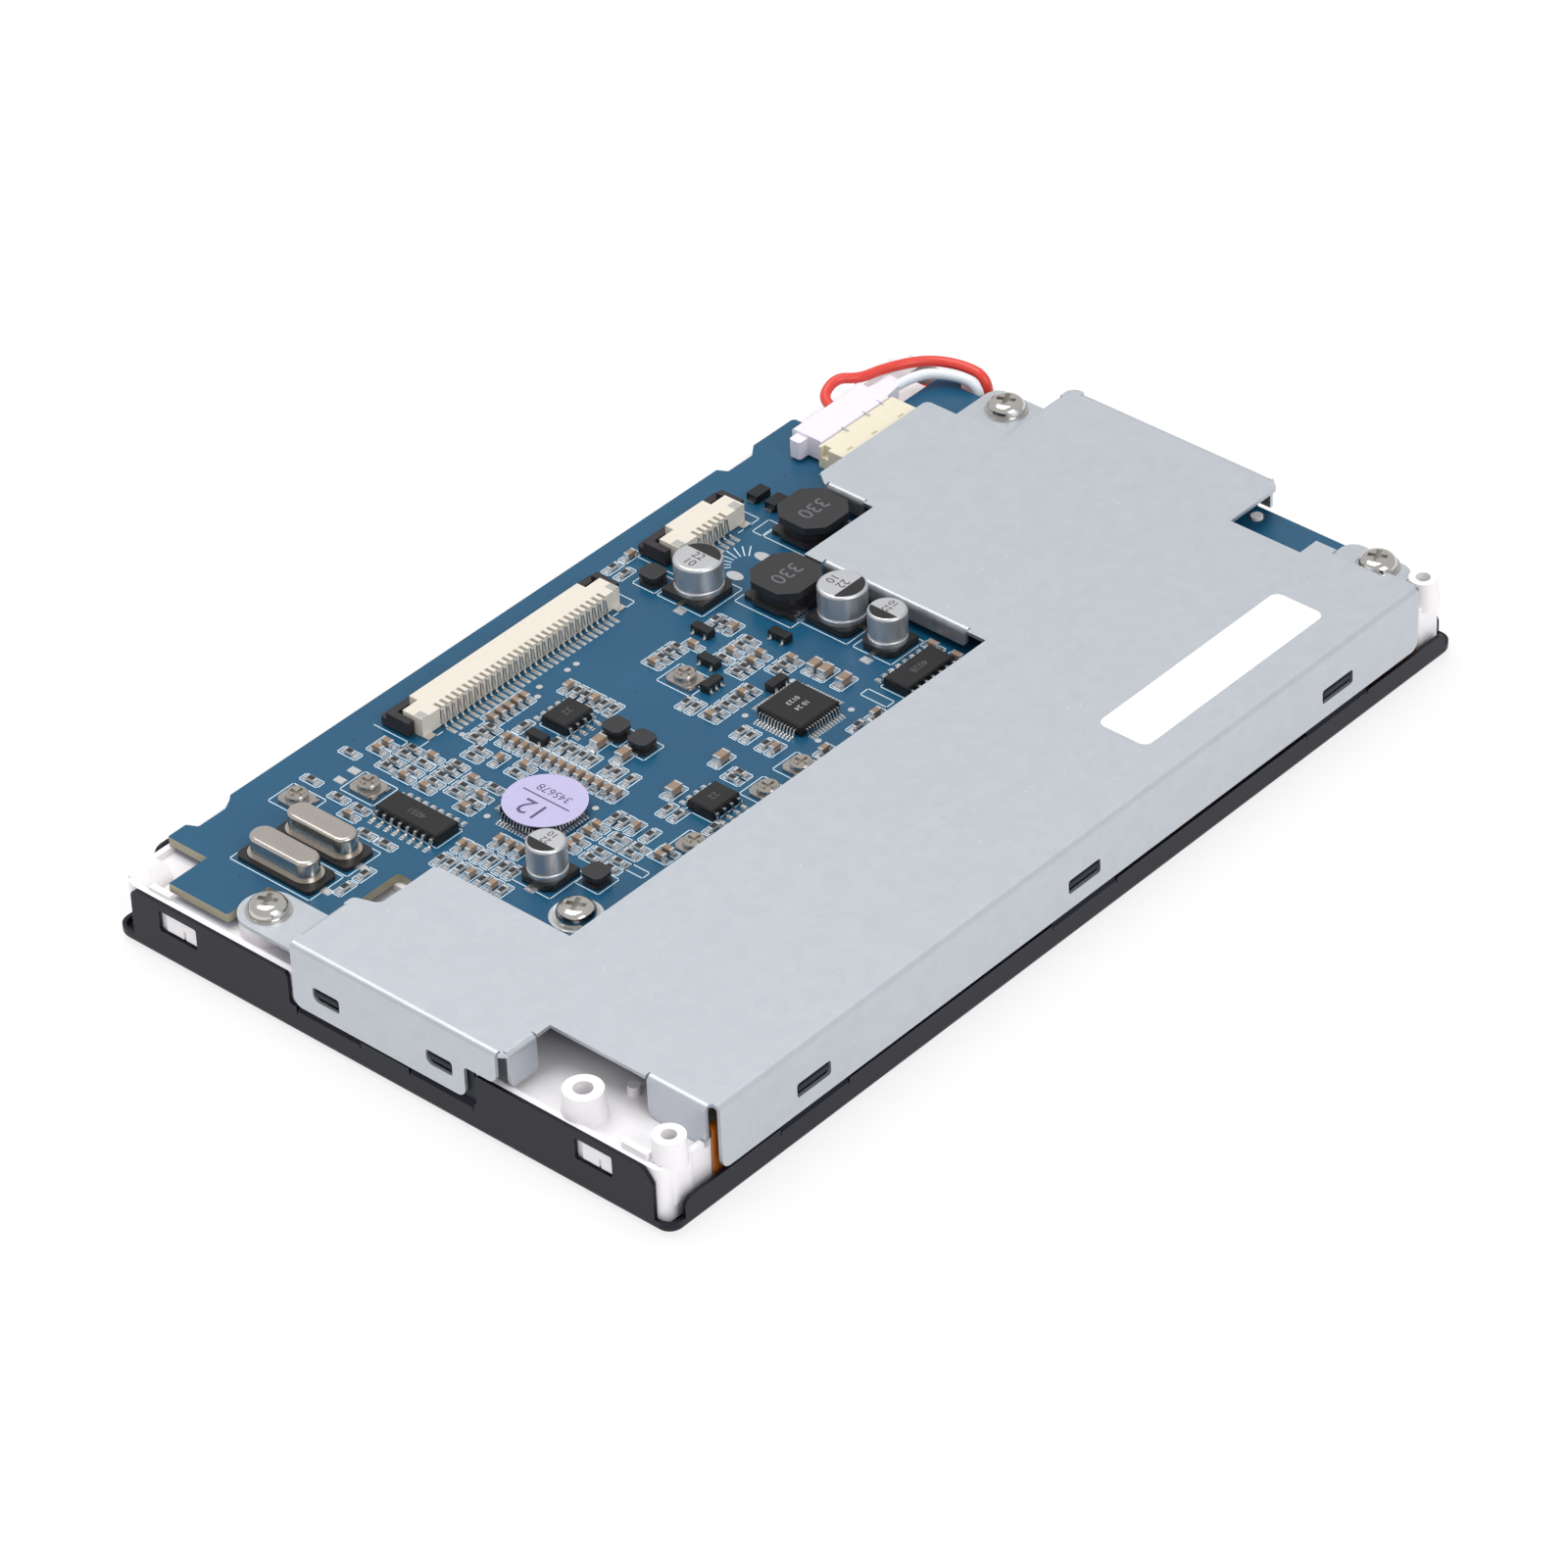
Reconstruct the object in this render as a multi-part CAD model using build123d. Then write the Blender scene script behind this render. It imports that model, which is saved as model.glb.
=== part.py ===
from build123d import *
import os
from math import sin, tan, radians, pi

os.makedirs("parts", exist_ok=True)

# Sizes are millimetres, from the corner of the module where the near long side meets the left short side.
# The glass faces down, so z runs from the bezel's face up to the rear shield. The export centres it all.
LENGTH = 144.3
WIDTH = 88.6
SHEET = 0.5
BEND = 0.8
GAP = 0.1
WALL_TOP = 8.4
LIP_TOP = 4.0
SHIELD_TOP = 13.3
SHIELD_LOW = 4.3
BOARD_TOP = 9.6
BOARD = 1.2
BOARD_LOW = BOARD_TOP - BOARD
WINDOW_X = 130.2
WINDOW_Y = 74.8

# Layers of the display, each thickness once and stacked upwards from the bezel's face.
FILM = 0.2
GLASS = 0.7
DIFFUSERS = 0.4
GUIDE = 3.0
Z_FILM = SHEET + GAP
Z_FILTER = Z_FILM + FILM
Z_GLASS = Z_FILTER + GLASS
Z_REAR = Z_GLASS + GLASS
Z_DIFFUSER = Z_REAR + FILM
Z_GUIDE = Z_DIFFUSER + DIFFUSERS
Z_MIRROR = Z_GUIDE + GUIDE
Z_WEB = Z_MIRROR + FILM + 0.2
WEB = 1.2
FLOOR = Z_WEB + WEB
RIM = 8.25
NOTCH_X = 7.9
NOTCH_FLAP_LOW = 7.5

# Screws, posts and pegs.
SCREW_R = 1.3
SCREW_HOLE_R = 1.6
SCREW_PILOT_R = 1.4
SCREW_LONG = 3.0
HEAD_R = 2.5
HEAD_H = 1.7
COLLAR_R = 2.8
COLLAR_H = 0.3
EAR_TOP = BOARD_TOP + SHEET
SCREWS = [
    (5.7, WIDTH - 20.8, EAR_TOP),
    (28.0, WIDTH - 49.0, BOARD_TOP),
    (LENGTH - 5.6, WIDTH - 21.4, EAR_TOP),
    (LENGTH - 3.6, 9.4, EAR_TOP),
]
POST_TOP = 11.4
POST_A = (3.6, 16.0)
POST_A_BORE = 1.2
POST_B = (3.6, 3.0)
POST_B_BORE = 0.95
POST_C = (LENGTH - 3.3, 2.6)
POST_A_DEPTH = 5.0
POST_B_DEPTH = 4.6
POST_C_DEPTH = 4.3
PEG = (LENGTH - 3.8, 28.1)
PEG_R = 0.9
FIT = 0.2


def block(x0, y0, z0, x1, y1, z1):
    """A box between two opposite corners."""
    box = Box(x1 - x0, y1 - y0, z1 - z0, align=(Align.MIN, Align.MIN, Align.MIN))
    return Pos(x0, y0, z0) * box


def face(corners):
    """A flat face through the corners, each rounded by its third number where it has one."""
    ends = []
    count = len(corners)
    for i, corner in enumerate(corners):
        here = Vector(corner[0], corner[1])
        if len(corner) < 3:
            ends.append([here])
            continue
        last = corners[i - 1]
        following = corners[(i + 1) % count]
        u = (Vector(last[0], last[1]) - here).normalized()
        v = (Vector(following[0], following[1]) - here).normalized()
        half = radians(u.get_angle(v)) / 2
        middle = (u + v).normalized()
        run = corner[2] / tan(half)
        inner = here + middle * (corner[2] / sin(half) - corner[2])
        ends.append([here + u * run, inner, here + v * run])
    edges = []
    for i, end in enumerate(ends):
        if len(end) == 3:
            edges.append(ThreePointArc(end[0], end[1], end[2]))
        start = end[-1]
        stop = ends[(i + 1) % count][0]
        if (stop - start).length > 1e-6:
            edges.append(Line(start, stop))
    return make_face(edges)


def plate(corners, z0, z1):
    """A flat plate with the outline, between two heights."""
    return Pos(0, 0, z0) * extrude(face(corners), amount=z1 - z0, dir=(0, 0, 1))


def wall_x(corners, x0, x1):
    """An upright plate whose outline is drawn in (y, z), between two x places."""
    solid = extrude(face(corners), amount=x1 - x0, dir=(0, 0, 1))
    return Pos(x0, 0, 0) * (Plane.YZ * solid)


def wall_y(corners, y0, y1):
    """An upright plate whose outline is drawn in (x, z), between two y places."""
    solid = extrude(face(corners), amount=y1 - y0, dir=(0, 0, 1))
    return Pos(0, y1, 0) * Rot(90, 0, 0) * solid


def rod(x, y, z0, z1, r0, r1=None):
    """An upright cylinder or cone."""
    if r1 is None:
        solid = Cylinder(r0, z1 - z0, align=(Align.CENTER, Align.CENTER, Align.MIN))
    else:
        solid = Cone(r0, r1, z1 - z0, align=(Align.CENTER, Align.CENTER, Align.MIN))
    return Pos(x, y, z0) * solid


def mirrored(shape):
    """The same thing on the right side."""
    return Pos(LENGTH, 0, 0) * mirror(shape, about=Plane.YZ)


def export(name, shape):
    """Centre the shape on the module and write it as one file."""
    shapes = shape if isinstance(shape, list) else [shape]
    solids = []
    for one in shapes:
        solids.extend(one.solids())
    placed = [Pos(-LENGTH / 2, -WIDTH / 2, 0) * solid for solid in solids]
    result = placed[0] if len(placed) == 1 else Compound(children=placed)
    result.label = name
    export_step(result, "parts/" + name + ".step")
    print(name, len(solids), round(sum(solid.volume for solid in solids), 2))


# Front bezel: a pan with a drawn ring, then walls of different heights, and tongues behind the shield.
RING = 1.5
pan = extrude(face([(0, 0, 2), (LENGTH, 0, 2), (LENGTH, WIDTH, 2), (0, WIDTH, 2)]), amount=RING, dir=(0, 0, 1))
pan = fillet(pan.edges().group_by(Axis.Z)[0], BEND)
hollow = plate(
    [
        (SHEET, SHEET, 1.5),
        (LENGTH - SHEET, SHEET, 1.5),
        (LENGTH - SHEET, WIDTH - SHEET, 1.5),
        (SHEET, WIDTH - SHEET, 1.5),
    ],
    SHEET,
    RING + 1,
)
hollow = fillet(hollow.edges().group_by(Axis.Z)[0], BEND - SHEET)
window_x0 = (LENGTH - WINDOW_X) / 2
window_y0 = (WIDTH - WINDOW_Y) / 2
window = plate(
    [
        (window_x0, window_y0, 0.6),
        (window_x0 + WINDOW_X, window_y0, 0.6),
        (window_x0 + WINDOW_X, window_y0 + WINDOW_Y, 0.6),
        (window_x0, window_y0 + WINDOW_Y, 0.6),
    ],
    -1,
    2,
)
bezel = pan - hollow - window

WALL1_LOW = 29.7
WALL1_HIGH = WIDTH - 29.2
WALL_FAR = WIDTH - 3.3
short_wall = wall_x(
    [
        (2.5, BEND),
        (2.5, 6.6),
        (4.0, WALL_TOP, 1.2),
        (WALL1_LOW, WALL_TOP, 0.5),
        (WALL1_LOW, LIP_TOP, 0.5),
        (WALL1_HIGH, LIP_TOP, 0.5),
        (WALL1_HIGH, WALL_TOP, 0.8),
        (WALL_FAR, WALL_TOP, 1.2),
        (WALL_FAR, BEND),
    ],
    0,
    SHEET,
)
SNAPS = [(8.7, 14.4), (WIDTH - 14.1, WIDTH - 7.9)]
SNAP_LOW = 4.3
SNAP_HIGH = 7.3
for low, high in SNAPS:
    short_wall -= wall_x(
        [(low, SNAP_LOW, 0.3), (high, SNAP_LOW, 0.3), (high, SNAP_HIGH, 0.3), (low, SNAP_HIGH, 0.3)], -1, 2
    )

SIDE_SLOTS = [(33.2, 37.3), (WIDTH - 37.5, WIDTH - 33.3)]
LONG_SLOTS = [(21.7, 27.5), (69.8, 75.6), (LENGTH - 26.5, LENGTH - 20.6)]
SLOT_LOW = 6.5
SLOT_HIGH = 8.5
TONGUE_TOP = 9.0
TONGUE_SIDE = 2.9
JOG_LOW = 3.4
JOG_HIGH = 4.2


def tongue(low, high):
    """A tongue drawn with its sheet along x, its outer face set in by one sheet, with a bump for the slot."""
    inner = SHEET + GAP
    profile = [
        (0, JOG_LOW - 0.6),
        (0, JOG_LOW),
        (inner, JOG_HIGH),
        (inner, TONGUE_TOP),
        (inner + SHEET, TONGUE_TOP),
        (inner + SHEET, JOG_HIGH - 0.25),
        (SHEET, JOG_LOW - 0.25),
        (SHEET, JOG_LOW - 0.6),
    ]
    sheet = wall_x(profile, low - TONGUE_SIDE, high + TONGUE_SIDE)
    outline = wall_y(
        [
            (low - TONGUE_SIDE, 0),
            (low - TONGUE_SIDE, TONGUE_TOP, 1.0),
            (high + TONGUE_SIDE, TONGUE_TOP, 1.0),
            (high + TONGUE_SIDE, 0),
        ],
        -1,
        3,
    )
    sheet = sheet & outline
    middle = (low + high) / 2
    half = (high - low) / 2 - 0.35
    bump = wall_x([(inner + 0.1, 6.75), (0.15, 7.2, 0.3), (0.15, 7.9, 0.3), (inner + 0.1, 8.25)], -half, half)
    return sheet + Pos(middle, 0, 0) * bump


def lip_gap(low, high):
    """The place a tongue leaves free in the lip."""
    return block(low - TONGUE_SIDE - 0.15, -1, JOG_LOW - 0.4, high + TONGUE_SIDE + 0.15, SHEET + 0.01, 20)


near_lip = wall_y(
    [(2.5, BEND), (2.5, LIP_TOP, 1.2), (LENGTH - 2.0, LIP_TOP - 0.5, 1.2), (LENGTH - 2.0, BEND)], 0, SHEET
)
far_wall = wall_y(
    [
        (7.2, BEND),
        (7.2, WALL_TOP, 1.2),
        (10.2, WALL_TOP, 1.0),
        (11.4, LIP_TOP, 1.0),
        (LENGTH - 11.4, LIP_TOP, 1.0),
        (LENGTH - 10.2, WALL_TOP, 1.0),
        (LENGTH - 7.2, WALL_TOP, 1.2),
        (LENGTH - 7.2, BEND),
    ],
    WIDTH - SHEET,
    WIDTH,
)
turn = Pos(0, WIDTH, 0) * Rot(0, 0, -90)
for low, high in LONG_SLOTS:
    near_lip -= lip_gap(low, high)
    near_lip += tongue(low, high)
right_wall = wall_x([(2.5, BEND), (2.5, LIP_TOP, 1.2), (WALL_FAR, LIP_TOP, 1.2), (WALL_FAR, BEND)], 0, SHEET)
for low, high in SIDE_SLOTS:
    side = turn * lip_gap(WIDTH - high, WIDTH - low)
    hook = turn * tongue(WIDTH - high, WIDTH - low)
    short_wall = short_wall - side + hook
    right_wall = right_wall - side + hook
bezel = bezel + short_wall + mirrored(right_wall) + near_lip + far_wall
export("front_bezel", bezel)

# Layers of the display. The lower glass is longer on the near side, where the flexible circuit joins it.
GLASS_X = 2.85
GLASS_NEAR = 3.25
GLASS_FAR = WIDTH - 2.6
FILTER_NEAR = 6.0
GUIDE_X = 5.8
GUIDE_NEAR = 4.6
GUIDE_FAR = WIDTH - 6.0
export("front_polariser", block(6.0, 6.4, Z_FILM, LENGTH - 6.0, WIDTH - 5.8, Z_FILM + FILM))
export("colour_filter_glass", block(GLASS_X, FILTER_NEAR, Z_FILTER, LENGTH - GLASS_X, GLASS_FAR, Z_GLASS))
export("lower_glass", block(GLASS_X, GLASS_NEAR, Z_GLASS, LENGTH - GLASS_X, GLASS_FAR, Z_REAR))
export("rear_polariser", block(GUIDE_X, GUIDE_NEAR, Z_REAR, LENGTH - GUIDE_X, GUIDE_FAR, Z_DIFFUSER))
export("diffuser_films", block(GUIDE_X, GUIDE_NEAR, Z_DIFFUSER, LENGTH - GUIDE_X, GUIDE_FAR, Z_GUIDE))
export("light_guide", block(GUIDE_X, GUIDE_NEAR, Z_GUIDE, LENGTH - GUIDE_X, GUIDE_FAR, Z_MIRROR))
export("reflector_sheet", block(GUIDE_X, GUIDE_NEAR, Z_MIRROR, LENGTH - GUIDE_X, GUIDE_FAR, Z_MIRROR + FILM))

# Lamp along the far side of the light guide, its foil reflector and an end holder on each end.
LAMP_R = 1.1
LAMP_Y = WIDTH - 4.3
LAMP_Z = 4.35
LAMP_END = 6.0
FOIL = 0.15
HOLDER = 3.2
along = Rot(0, 90, 0)
lamp = Pos(LAMP_END, LAMP_Y, LAMP_Z) * along * rod(0, 0, 0, LENGTH - 2 * LAMP_END, LAMP_R)
lamp = fillet(lamp.edges(), 0.7)
export("backlight_lamp", lamp)
foil_low = 2.95
foil_high = 5.85
foil_far = WIDTH - 2.6
foil = wall_x(
    [
        (GUIDE_FAR + 0.2, foil_low),
        (foil_far, foil_low, 0.9),
        (foil_far, foil_high, 0.9),
        (GUIDE_FAR + 0.2, foil_high),
        (GUIDE_FAR + 0.2, foil_high - FOIL),
        (foil_far - FOIL, foil_high - FOIL, 0.75),
        (foil_far - FOIL, foil_low + FOIL, 0.75),
        (GUIDE_FAR + 0.2, foil_low + FOIL),
    ],
    LAMP_END + HOLDER + 0.2,
    LENGTH - LAMP_END - HOLDER - 0.2,
)
export("lamp_reflector", foil)
holder = wall_x(
    [
        (GUIDE_FAR + 0.3, foil_low, 0.4),
        (foil_far, foil_low, 0.4),
        (foil_far, foil_high, 0.4),
        (GUIDE_FAR + 0.3, foil_high, 0.4),
    ],
    LAMP_END - 1.2,
    LAMP_END + HOLDER,
)
holder -= Pos(LAMP_END - 0.05, LAMP_Y, LAMP_Z) * along * rod(0, 0, 0, 10, LAMP_R + 0.01)
holder_right = mirrored(holder)
RED_END = (WIDTH - 4.0, 5.1)
WHITE_END = (WIDTH - 4.5, 3.65)
for y, z in (RED_END, WHITE_END):
    holder_right -= Pos(LENGTH - LAMP_END + 0.3, y, z) * along * rod(0, 0, 0, 4, 0.75)
export("lamp_holders", [holder, holder_right])

# Moulded frame: side walls, back web, rims, posts, boss, corner columns and snap tabs.
FRAME_X = SHEET + 0.15
FRAME_NEAR = 1.6
FRAME_FAR = WIDTH - SHEET - 0.15
CAVITY_X = GUIDE_X - 0.2
frame = plate(
    [
        (FRAME_X, FRAME_NEAR, 1.5),
        (LENGTH - FRAME_X, FRAME_NEAR, 1.5),
        (LENGTH - FRAME_X, FRAME_FAR, 3.0),
        (FRAME_X, FRAME_FAR, 3.0),
    ],
    Z_FILM,
    RIM,
)
frame -= block(FRAME_X + 0.8, FRAME_NEAR + 0.8, FLOOR, LENGTH - FRAME_X - 0.8, FRAME_FAR - 0.8, RIM + 1)
# Under the side tongues the wall steps in, so that the tongue has its own room.
for low, high in SIDE_SLOTS:
    notch = block(0, low - TONGUE_SIDE - 0.4, JOG_LOW - 0.8, 2 * SHEET + 0.3, high + TONGUE_SIDE + 0.4, RIM + 1)
    frame -= notch
    frame -= mirrored(notch)
FLEX_X0 = 8.7
FLEX_X1 = LENGTH - 6.3
FLEX = 0.15

frame += rod(*POST_A, FLOOR - 0.2, POST_TOP, 2.8, 2.45)
SHOULDER = 7.6
column = plate([(1.6, 1.4, 1.5), (6.0, 1.4, 0.8), (6.0, 5.4, 0.8), (1.6, 5.4, 0.8)], 2.6, RIM)
foot = rod(3.1, 2.9, Z_FILM + 0.1, 2.7, 1.3)
post_b = rod(*POST_B, SHOULDER, POST_TOP, 2.15, 2.0)
frame += column + foot + post_b
column_c = mirrored(column)
post_c = rod(*POST_C, SHOULDER, POST_TOP, 2.2, 1.8)
frame += column_c + mirrored(foot) + post_c
frame += rod(10.0, 14.3, FLOOR - 0.2, 8.7, 0.85, 0.75)
frame += rod(*PEG, FLOOR - 0.2, BOARD_TOP + 0.2, PEG_R, PEG_R - 0.1)
BOSS_R = 3.6
for x, y, seat in SCREWS:
    wide = BOSS_R if x == SCREWS[0][0] else 3.3
    top = seat - SHEET if seat == EAR_TOP else BOARD_LOW
    if x == SCREWS[2][0]:
        top = BOARD_LOW
    boss = rod(x, y, FLOOR - 0.2, top, wide)
    boss = boss & block(FRAME_X, 0, 0, LENGTH - FRAME_X, WIDTH, 20)
    frame += boss
strip_low = block(FRAME_X + 0.6, 4.4, RIM - 0.2, FRAME_X + 1.5, 8.2, RIM + 0.9)
strip_far = block(FRAME_X + 0.6, WIDTH - 8.6, RIM - 0.2, FRAME_X + 1.5, WIDTH - 5.2, RIM + 0.5)
HUMP_X = FRAME_X + 0.2
HUMP_Y = FRAME_FAR - 0.1
HUMP = 4.8
HUMP_LOW = 7.4
HUMP_TOP = 9.8
hump = plate(
    [
        (HUMP_X, HUMP_Y - HUMP, 1.2),
        (HUMP_X + HUMP, HUMP_Y - HUMP, 1.6),
        (HUMP_X + HUMP, HUMP_Y, 1.6),
        (HUMP_X, HUMP_Y, 2.9),
    ],
    4.0,
    HUMP_TOP,
)
hump &= wall_y(
    [
        (HUMP_X, 4.0),
        (HUMP_X, HUMP_LOW, 1.5),
        (HUMP_X + 0.55 * HUMP, HUMP_TOP, 1.5),
        (HUMP_X + HUMP, HUMP_TOP, 1.5),
        (HUMP_X + HUMP, 4.0),
    ],
    HUMP_Y - HUMP,
    HUMP_Y,
)
hump &= wall_x(
    [
        (HUMP_Y - HUMP, 4.0),
        (HUMP_Y - HUMP, HUMP_LOW, 1.5),
        (HUMP_Y - 0.5 * HUMP, HUMP_TOP, 1.5),
        (HUMP_Y, HUMP_TOP, 1.0),
        (HUMP_Y, 4.0),
    ],
    HUMP_X,
    HUMP_X + HUMP,
)
TAB_FACE = 0.3
for low, high in SNAPS:
    tab = block(TAB_FACE, low + 0.2, SNAP_LOW + 0.3, 1.0, high - 1.0, SNAP_HIGH - 0.3)
    slit = (2 * low + high) / 3
    frame += tab - block(TAB_FACE, slit, SNAP_LOW, 0.6, slit + 0.4, SNAP_LOW + 1.5)
for extra in (strip_low, strip_far, hump):
    frame += extra
    frame += mirrored(extra)
frame += block(20, 20, FLOOR - 0.1, 22, WIDTH - 18.6, BOARD_LOW)
frame += block(70, 8, FLOOR - 0.1, 72, WIDTH - 8.6, BOARD_LOW)
frame += block(118, 8, FLOOR - 0.1, 120, WIDTH - 8.6, BOARD_LOW)
# Pockets for the glass, the light guide and the lamp, and the way out of the flexible circuit.
frame -= block(
    GLASS_X - FIT, GLASS_NEAR - FIT, 0, LENGTH - GLASS_X + FIT, GLASS_FAR + FIT, Z_REAR + 0.05
)
frame -= block(CAVITY_X, GUIDE_NEAR - FIT, 0, LENGTH - CAVITY_X, GUIDE_FAR + FIT, Z_WEB)
frame -= block(LAMP_END - 1.4, GUIDE_FAR, 0, LENGTH - LAMP_END + 1.4, foil_far + FIT, Z_WEB)
frame -= block(FLEX_X0 - FIT, 0, 0, FLEX_X1 + FIT, GLASS_NEAR, Z_REAR + 0.1)
# Room in the near wall for the shield's flap beside the notch.
frame -= block(
    NOTCH_X - FIT, FRAME_NEAR - 0.1, NOTCH_FLAP_LOW - FIT, NOTCH_X + SHEET + FIT, FRAME_NEAR + 1.0, RIM + 1
)
# The channel that leads the two wires down to the lamp.
frame -= block(LENGTH - 4.85, WIDTH - 16.7, 2.85, LENGTH - 1.45, WIDTH - 2.7, BOARD_LOW)
# Bores of the posts and of the screws.
frame -= rod(*POST_A, POST_TOP - POST_A_DEPTH, POST_TOP + 1, POST_A_BORE)
frame -= rod(*POST_B, POST_TOP - POST_B_DEPTH, POST_TOP + 1, POST_B_BORE)
frame -= rod(*POST_C, POST_TOP - POST_C_DEPTH, POST_TOP + 1, POST_B_BORE)
for x, y, seat in SCREWS:
    frame -= rod(x, y, seat - SCREW_LONG - 0.2, 14, SCREW_PILOT_R)
export("moulded_frame", frame)

# Main board with its notches, its slot and its holes.
CUT = (14.4, WIDTH - 29.6, 20.8, WIDTH - 27.2)
BOARD_FAR = WIDTH - 0.95
BOARD_RIGHT = LENGTH - 8.1
board = plate(
    [
        (12.0, 2.7, 0.8),
        (BOARD_RIGHT, 2.7, 0.8),
        (BOARD_RIGHT, 13.6, 0.6),
        (LENGTH - 1.9, 13.6, 0.6),
        (LENGTH - 1.9, WIDTH - 17.6, 0.4),
        (LENGTH - 4.8, WIDTH - 17.6, 0.5),
        (LENGTH - 4.8, WIDTH - 13.2, 0.5),
        (LENGTH - 2.7, WIDTH - 11.4, 0.5),
        (LENGTH - 2.7, WIDTH - 9.4, 0.6),
        (LENGTH - 23.3, WIDTH - 9.4, 0.6),
        (LENGTH - 23.3, BOARD_FAR, 0.6),
        (LENGTH - 31.0, BOARD_FAR, 0.5),
        (LENGTH - 32.8, BOARD_FAR - 1.35, 0.5),
        (107.0, BOARD_FAR - 1.35, 0.3),
        (106.3, BOARD_FAR, 0.3),
        (19.3, BOARD_FAR, 0.4),
        (18.5, BOARD_FAR - 0.65),
        (17.0, BOARD_FAR - 1.45, 0.4),
        (12.5, BOARD_FAR - 1.45, 0.3),
        (11.8, BOARD_FAR, 0.3),
        (8.8, BOARD_FAR, 0.2),
        (8.8, WIDTH - 7.5),
        (2.5, WIDTH - 7.5),
        (2.5, WIDTH - 17.1, 0.3),
        (9.4, WIDTH - 17.1, 0.3),
        (9.4, WIDTH - 28.0, 0.3),
        (12.0, WIDTH - 28.0),
    ],
    BOARD_LOW,
    BOARD_TOP,
)
board -= plate([(CUT[0], CUT[1], 0.6), (CUT[2], CUT[1], 0.6), (CUT[2], CUT[3], 0.6), (CUT[0], CUT[3], 0.6)], 5, 12)
board -= rod(SCREWS[1][0], SCREWS[1][1], 5, 12, SCREW_HOLE_R)
board -= rod(SCREWS[2][0], SCREWS[2][1], 5, 12, SCREW_HOLE_R)
board -= rod(*PEG, 5, 12, PEG_R + 0.15)
export("main_board", board)

# Rear shield: one sheet, bent down along its edges, with three pressed ears and slots.
LOW_PLATE = SHIELD_TOP - SHEET


def bent(width, bottom):
    """A strip bent down: outer face at y = 0, bend towards +y, running along x from 0 to its width."""
    reach = BEND + 0.2
    profile = [
        (0, bottom),
        (0, SHIELD_TOP, BEND),
        (reach, SHIELD_TOP),
        (reach, LOW_PLATE),
        (SHEET, LOW_PLATE, BEND - SHEET),
        (SHEET, bottom),
    ]
    return wall_x(profile, 0, width)


def shaped(width, bottom, outline):
    """A bent strip cut to an outline drawn in (x, z)."""
    return bent(width, bottom) & wall_y(outline, -1, BEND + 1)


def round_flap(width, bottom, corner):
    """A bent strip with two rounded lower corners."""
    outline = [(0, 20), (0, bottom, corner), (width, bottom, corner), (width, 20)]
    return shaped(width, bottom, outline)


OPEN_X = 95.5
OPEN_Y = WIDTH - 54.4
STEP_X = 108.4
NEAR_END = LENGTH - 7.65
EAR_STEP = LENGTH - 7.5
EDGE_1 = WIDTH - 29.7
EDGE_3 = WIDTH - 27.7
sheet = plate(
    [
        (8.9, 0),
        (NEAR_END, 0),
        (NEAR_END + 0.25, 0.6),
        (EAR_STEP, 15.9),
        (LENGTH - 10.7, 15.9),
        (LENGTH - 10.7, 26.8),
        (LENGTH - 1.6, 26.8, 0.8),
        (LENGTH, 28.6, 0.6),
        (LENGTH, EDGE_3, 1.5),
        (LENGTH - 13.4, EDGE_3),
        (LENGTH - 13.4, WIDTH - 20.3),
        (LENGTH - 13.8, WIDTH - 20.3),
        (LENGTH - 13.8, WIDTH - 15.2, 0.9),
        (110.0, WIDTH - 15.2, 0.6),
        (STEP_X, WIDTH - 17.3, 1.0),
        (STEP_X, WIDTH - 25.3),
        (OPEN_X, WIDTH - 25.3),
        (OPEN_X, OPEN_Y),
        (21.3, OPEN_Y),
        (21.3, WIDTH - 33.1, 0.8),
        (12.0, WIDTH - 33.1, 1.2),
        (10.9, EDGE_1, 0.8),
        (0.4, EDGE_1, 0.3),
        (0, EDGE_1 - 0.5),
        (0, 26.2),
        (0.9, 24.9),
        (NOTCH_X, 24.9),
        (NOTCH_X, 1.2),
        (8.9, 1.2),
    ],
    LOW_PLATE,
    SHIELD_TOP,
)
# Strips that the bends replace.
SIDE_LOW = 26.2
SIDE_HIGH = WIDTH - 30.0
DEEP_LOW = 31.3
sheet -= block(8.0, -1, 10, NEAR_END, BEND, 20)
sheet -= block(-1, SIDE_LOW - 0.3, 10, BEND, SIDE_HIGH + 0.4, 20)
sheet -= block(LENGTH - BEND, 28.4, 10, LENGTH + 1, SIDE_HIGH + 0.4, 20)
sheet -= block(NOTCH_X - 1, 1, 10, NOTCH_X + BEND, 10.4, 20)
sheet -= block(0.9, 24.9 - 1, 10, 5.7, 24.9 + BEND, 20)
sheet -= block(OPEN_X - 1, OPEN_Y + 3.0, 10, OPEN_X + BEND, WIDTH - 28.1, 20)
sheet -= block(STEP_X - 1, WIDTH - 23.7, 10, STEP_X + BEND, WIDTH - 17.4, 20)
long_flap = Pos(8.9, 0, 0) * round_flap(NEAR_END - 8.9, SHIELD_LOW, 1.3)
for low, high in LONG_SLOTS:
    long_flap -= wall_y(
        [(low, SLOT_LOW, 0.4), (high, SLOT_LOW, 0.4), (high, SLOT_HIGH, 0.4), (low, SLOT_HIGH, 0.4)], -1, 2
    )
side_width = SIDE_HIGH - SIDE_LOW
side_outline = [
    (0, 20),
    (0, SHIELD_LOW, 1.3),
    (SIDE_HIGH - DEEP_LOW, SHIELD_LOW, 1.3),
    (SIDE_HIGH - DEEP_LOW, 8.9, 0.6),
    (side_width, 8.9, 1.2),
    (side_width, 20),
]
side_flap = shaped(side_width, SHIELD_LOW, side_outline)
side_flap = Pos(0, SIDE_HIGH, 0) * Rot(0, 0, -90) * side_flap
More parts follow.
